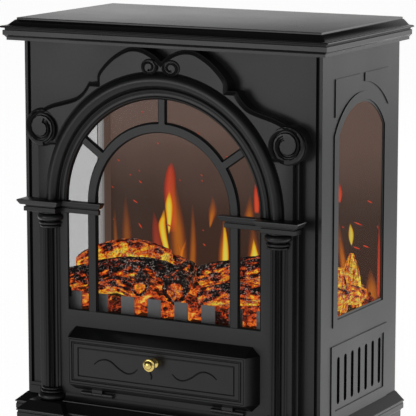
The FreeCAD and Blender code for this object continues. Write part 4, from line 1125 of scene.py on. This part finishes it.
def lumpMesh():
    work = bmesh.new()
    bmesh.ops.create_icosphere(work, subdivisions=2, radius=1.0)
    for vert in work.verts:
        broad, fine = noise.noise(vert.co * 1.7 + Vector((3.0, 1.0, 2.0))), noise.noise(vert.co * 5.0)
        vert.co *= 1 + 0.42 * broad + 0.15 * fine
        vert.co.z *= embers["flat"]
    mesh = bpy.data.meshes.new("lumpWork")
    work.to_mesh(mesh)
    work.free()
    return mesh


def coalScatter(lump):
    growth = Growth("coalScatter", Lump=lump, Density=embers["density"], Smallest=embers["smallest"],
                    Largest=embers["largest"], Seed=embers["seed"])
    given, feed = growth.given, growth.feed
    spread = growth.node("GeometryNodeDistributePointsOnFaces", distribute_method="POISSON")
    spread.inputs["Distance Min"].default_value = embers["apart"]
    for socket, source in (("Mesh", "Geometry"), ("Density Max", "Density"), ("Seed", "Seed")):
        feed(spread.inputs[socket], given[source])
    info, put, both = (growth.node(kind) for kind in (
        "GeometryNodeObjectInfo", "GeometryNodeInstanceOnPoints", "GeometryNodeJoinGeometry"))
    feed(info.inputs["Object"], given["Lump"])

    def chance(kind, low, high, step):
        made = growth.node("FunctionNodeRandomValue", data_type=kind)
        index = 0 if kind == "FLOAT_VECTOR" else 1
        feed([s for s in made.inputs if s.name == "Min"][index], low)
        feed([s for s in made.inputs if s.name == "Max"][index], high)
        feed([s for s in made.inputs if s.name == "Seed"][0], growth.maths("ADD", given["Seed"], step))
        return made.outputs[index]

    feed(put.inputs["Points"], spread.outputs["Points"])
    feed(put.inputs["Instance"], info.outputs["Geometry"])
    feed(put.inputs["Rotation"], chance("FLOAT_VECTOR", (-0.5, -0.5, 0.0), (0.5, 0.5, 6.28), 1.0))
    feed(put.inputs["Scale"], chance("FLOAT", given["Smallest"], given["Largest"], 2.0))
    feed(both.inputs[0], put.outputs[0])
    feed(both.inputs[0], given["Geometry"])
    growth.closed(both.outputs[0])
    return growth


def emberBed():
    lump, bed = linked("lumpWork", lumpMesh()), linked("bedWork", bedMesh())
    mesh = coalScatter(lump).run(bed, "glowingEmber")
    bpy.data.objects.remove(lump)
    # the heat comes from where each lump lies
    values = [0.30 + 0.75 * noise.noise(v.co * 26.0) + 0.35 * noise.noise(v.co * 90.0) for v in mesh.vertices]
    mesh.attributes.new("warmth", "FLOAT", "POINT").data.foreach_set("value", values)
    return mesh


finished("emberBed", emberBed(), "glowingEmber", nodes=["ember_bed"], smooth=50.0, merge=False, outwards=False)
print("embers scattered")


# flames: thin leaves of light just in front of the screen, each a centre line (x, z) from foot to tip, half
# widths, strength and layer
flames = {
    "orangeFlame": [
        ([(-86, 264), (-90, 300), (-93, 330), (-96, 360), (-98, 382), (-98, 398)], (11, 13, 12, 8, 5, 1), 0.70, 1),
        ([(-72, 262), (-70, 290), (-69.5, 316), (-70, 340), (-70.5, 356)], (7, 6.2, 5, 3, 1), 0.62, 0),
        ([(-165, 276), (-165.5, 305), (-166, 325), (-167, 345), (-167, 360)], (8.5, 8.5, 7, 4, 1), 0.42, 0),
        ([(-181, 280), (-182, 305), (-183, 325), (-183, 342)], (4, 4, 3, 1), 0.35, 0),
        ([(-85.8, 262), (-86.0, 280), (-86.6, 294), (-90.0, 303), (-93.9, 309)], (2.6, 3.4, 3.0, 2.2, 0.4),
         1.0, 4),
        ([(-85.6, 284), (-84.0, 296), (-80.6, 304), (-77.6, 311)], (2.0, 2.8, 2.0, 0.4), 1.0, 5),
        ([(-45.6, 328), (-43.5, 340), (-41.6, 350), (-41.3, 360), (-41.7, 369)], (0.6, 4.6, 6.6, 4.2, 0.4),
         0.8, 1),
        ([(-27, 272), (-26.5, 300), (-26, 324), (-26.5, 345)], (8.5, 8, 5, 1), 0.8, 0),
        ([(8, 330), (9, 346), (9.8, 358), (10.6, 374)], (7, 8, 6, 1), 0.8, 0),
        ([(16, 270), (16, 300), (15, 322), (14, 340)], (12, 10, 6, 1), 0.6, 1),
        ([(52, 280), (53, 312), (50, 345), (52, 372)], (9, 9, 6, 1), 0.6, 0),
        ([(96, 272), (96, 306), (99, 335), (97, 362)], (10, 10, 6, 1), 0.65, 0),
        ([(139.5, 286), (137, 304), (133.5, 326), (131, 352)], (5.5, 5.5, 4.5, 1), 0.8, 1),
        ([(176, 258), (176, 272), (175, 284), (173.6, 297)], (10.5, 9.5, 6.5, 1), 0.75, 1)],
    "redFlame": [
        ([(-99, 318), (-101, 345), (-103, 368), (-102, 386), (-101, 400), (-100, 407)], (7, 9, 9, 8.5, 5, 1),
         0.85, 0),
        ([(-121, 282), (-121, 305), (-123, 322), (-126, 342)], (7, 8, 6, 1), 0.45, 0),
        ([(20, 352), (20, 364), (19, 376), (18, 391)], (3.5, 4.4, 3.4, 0.4), 1.0, 2),
        ([(108, 300), (109, 330), (107, 360), (108, 385)], (5, 6, 4, 1), 0.55, 1),
        ([(132.0, 374), (132.6, 383), (132.6, 390), (131.8, 399)], (1.5, 3.4, 3.0, 0.4), 0.85, 2),
        ([(185, 262), (185, 290), (185, 320), (185, 356)], (2.2, 2.2, 2.0, 0.5), 0.75, 2)],
    "yellowFlame": [
        ([(-103, 272), (-106.5, 292), (-111.5, 312), (-113.5, 326), (-111.8, 336), (-110.5, 347)],
         (3.4, 4.2, 5.4, 5.8, 3.6, 0.4), 1.0, 2),
        ([(-103.5, 316), (-103.0, 334), (-103.2, 350), (-103.0, 360), (-102.5, 371)], (0.8, 4.2, 6.0, 4.4, 0.4),
         1.0, 3),
        ([(-24, 278), (-23.5, 296), (-23.8, 316), (-25.5, 338)], (4.4, 5.2, 3.6, 0.5), 0.95, 2),
        ([(17.5, 284), (17.5, 296), (17.0, 306), (16.0, 320)], (7.5, 7.0, 4.2, 0.4), 1.0, 3),
        ([(64, 276), (66, 296), (63, 316), (64, 334)], (5, 6, 4, 0.5), 0.95, 2),
        ([(148.8, 323), (148.2, 331), (148.1, 338), (147.4, 344), (146.5, 350.5)], (0.4, 3.2, 3.7, 2.4, 0.3),
         0.8, 2)],
}
# x, z, half length and tilt of each spark
sparks = [(-150.8, 353.5, 4.4, 28), (-143.7, 322.7, 4.6, 52), (-102.6, 326.9, 4.6, 22), (-157.9, 387.1, 1.8, 30),
          (-144.9, 393.0, 1.7, 60), (-143.4, 379.0, 3.0, 40), (-184.0, 369.4, 2.2, 40), (-182.7, 328.0, 1.4, 0),
          (-55.8, 394.0, 1.9, 40), (-55.0, 387.1, 1.7, 20), (-53.5, 324.7, 1.6, 30), (-51.9, 306.5, 2.6, 40),
          (-174.8, 404.3, 2.4, 30), (-86.6, 385.4, 1.8, 60), (173.5, 378.9, 4.0, 22), (158.7, 350.9, 6.4, 16),
          (138.3, 344.9, 2.2, 30), (157.0, 321.1, 5.2, 14), (169.2, 324.0, 4.6, 14), (184.0, 348.8, 2.4, 70),
          (-118, 430, 1.8, 30), (-60, 446, 2.0, 40), (-20, 420, 1.6, 10), (40, 402, 2.4, 30), (80, 380, 2.0, 50),
          (-140, 468, 1.6, 20), (-92, 492, 1.8, 40), (60, 452, 1.8, 30), (118, 420, 2.0, 30), (-165, 512, 1.5, 30)]
leaves = {"y": 107.0, "layer": 0.45, "sparkLift": 3.0, "steps": 9, "across": 10,
          "sparkWidths": (0.2, 0.9, 0.9, 0.2),
          "orangeFlame": (1.3, 0.7), "redFlame": (0.4, 0.25), "yellowFlame": (0.4, 0.25)}


def sparkLine(x, z, size, tilt):
    dx, dz = size * math.cos(math.radians(tilt)), -size * math.sin(math.radians(tilt))
    return [(x - dx, z - dz), (x - dx / 3, z - dz / 3), (x + dx / 3, z + dz / 3), (x + dx, z + dz)]


def leaf(line, widths, strength, y, soft, fade):
    path = curve(line, leaves["steps"])
    span = curve([(w, 0.0) for w in widths], leaves["steps"])
    count, across = len(path), leaves["across"]
    verts, body, cover = [], [], []
    for i, (point, width) in enumerate(zip(path, span)):
        rise = i / (count - 1)
        ahead = (path[min(i + 1, count - 1)] - path[max(i - 1, 0)]).normalized()
        aside = Vector((ahead.y, -ahead.x))
        for j in range(across + 1):
            share = 2.0 * j / across - 1.0
            spot = point + aside * share * max(width.x, 0.2)
            verts.append((spot.x * mm, y * mm, spot.y * mm))
            core = 1 - share ** 2
            body.append(core * (1.0 - 0.55 * rise ** 2))
            foot = min(1.0, rise / 0.12 + 0.15)
            cover.append(strength * foot * min(1.0, core / soft) * min(1.0, (1 - rise) / fade + 0.05))
    corners = [i * (across + 1) + j for i in range(count - 1) for j in range(across)]
    return (verts, [(a, a + 1, a + across + 2, a + across + 1) for a in corners]), body, cover


for look, lines in flames.items():
    chosen = [(line, widths, strength, leaves["y"] - leaves["layer"] * layer)
              for line, widths, strength, layer in lines]
    if look == "redFlame":
        chosen += [(sparkLine(*spark), leaves["sparkWidths"], min(1.0, 0.35 + spark[2] / 6),
                    leaves["y"] - leaves["sparkLift"]) for spark in sparks]
    made = [leaf(*item, *leaves[look]) for item in chosen]
    attributes = {"body": [value for shape, body, cover in made for value in body],
                  "cover": [value for shape, body, cover in made for value in cover]}
    solid(look + "Leaves", joined(*[item[0] for item in made]), look, merge=False, attributes=attributes)
print("flames cut:", sum(len(lines) for lines in flames.values()), "and", len(sparks), "sparks")


# stage: pale floor, soft light, camera
studio = {"camera": (1.3372, -2.4794, 0.8582), "azimuth": 28.18, "elevation": 9.77, "lens": 206.97,
          "sensor": 36.0, "ring": 0.72, "top": 0.05, "ceiling": (0.30, 0.62), "sides": (0.52, 0.80), "sideTop": 0.12,
          "floorHalf": 16, "floor": (0.60, 0.60, 0.60), "floorSeen": (0.16, 0.16, 0.16), "floorLift": 0.90,
          "floorGlow": (0.62, 0.10, 2.2), "target": (0.0, 0.0, 0.32),
          "lights": (("key", (-1.5, -2.9, 0.5), (1.4, 1.0), 9.0), ("sideCard", (1.9, 3.4, 0.9), (2.6, 1.8), 18.0))}


def makeFloor():
    half = studio["floorHalf"]
    mesh = bpy.data.meshes.new("floor")
    mesh.from_pydata([(-half, -half, 0), (half, -half, 0), (half, half, 0), (-half, half, 0)], [], [(0, 1, 2, 3)])
    recipe = Recipe("floorSurface")
    path, reach = recipe.node("ShaderNodeLightPath"), recipe.node("ShaderNodeVectorMath", operation="LENGTH")
    recipe.feed(reach.inputs[0], recipe.place)
    near, far, behind = studio["floorGlow"]
    glow = recipe.maths("MULTIPLY", recipe.range(reach.outputs["Value"], near, far, 1.0, 3.0),
                        recipe.range(recipe.along("Y"), 1.0, behind, -0.3, 0.6))
    seen = path.outputs["Is Camera Ray"]
    recipe.set(colour=recipe.mix(seen, studio["floorSeen"], studio["floor"]), rough=0.8, specular=0.0, glow=white,
               glowPower=recipe.mix(seen, glow, (studio["floorLift"],) * 3))
    mesh.materials.append(recipe.material)
    linked("floor", mesh)


def makeLight(name, place, size, power):
    data = bpy.data.lights.new(name, "AREA")
    data.shape = "RECTANGLE"
    data.size, data.size_y = size
    data.energy = power
    light = linked(name, data)
    light.visible_camera = False
    light.location = place
    light.rotation_euler = (Vector(studio["target"]) - Vector(place)).to_track_quat("-Z", "Y").to_euler()


def makeCamera():
    az, el = math.radians(studio["azimuth"]), math.radians(studio["elevation"])
    back = Vector((math.sin(az) * math.cos(el), -math.cos(az) * math.cos(el), math.sin(el)))
    data = bpy.data.cameras.new("camera")
    data.lens, data.sensor_width = studio["lens"], studio["sensor"]
    camera = linked("camera", data)
    camera.location = studio["camera"]
    camera.rotation_euler = back.to_track_quat("Z", "Y").to_euler()
    bpy.context.scene.camera = camera


def makeWorld():
    # a pale ring at the horizon, darker to both sides and above; the camera sees plain white
    world = bpy.data.worlds.new("studio")
    world.use_nodes = True
    sky = Nodes(world.node_tree)
    parts = sky.split(sky.node("ShaderNodeTexCoord").outputs["Generated"])
    ring = sky.ramp(parts["Z"], list(zip(studio["ceiling"], (studio["ring"], studio["top"]))))
    fade = sky.range(sky.maths("ABSOLUTE", parts["X"]), 1.0, studio["sideTop"], *studio["sides"])
    seen = sky.node("ShaderNodeLightPath").outputs["Is Camera Ray"]
    shown = sky.mix(seen, sky.maths("MULTIPLY", ring, fade), white)
    sky.feed(sky.tree.nodes["Background"].inputs["Color"], shown)
    bpy.context.scene.world = world


makeFloor()
makeCamera()
makeWorld()
for light in studio["lights"]:
    makeLight(*light)
bpy.context.scene.view_settings.view_transform = "Standard"
print("stage set")
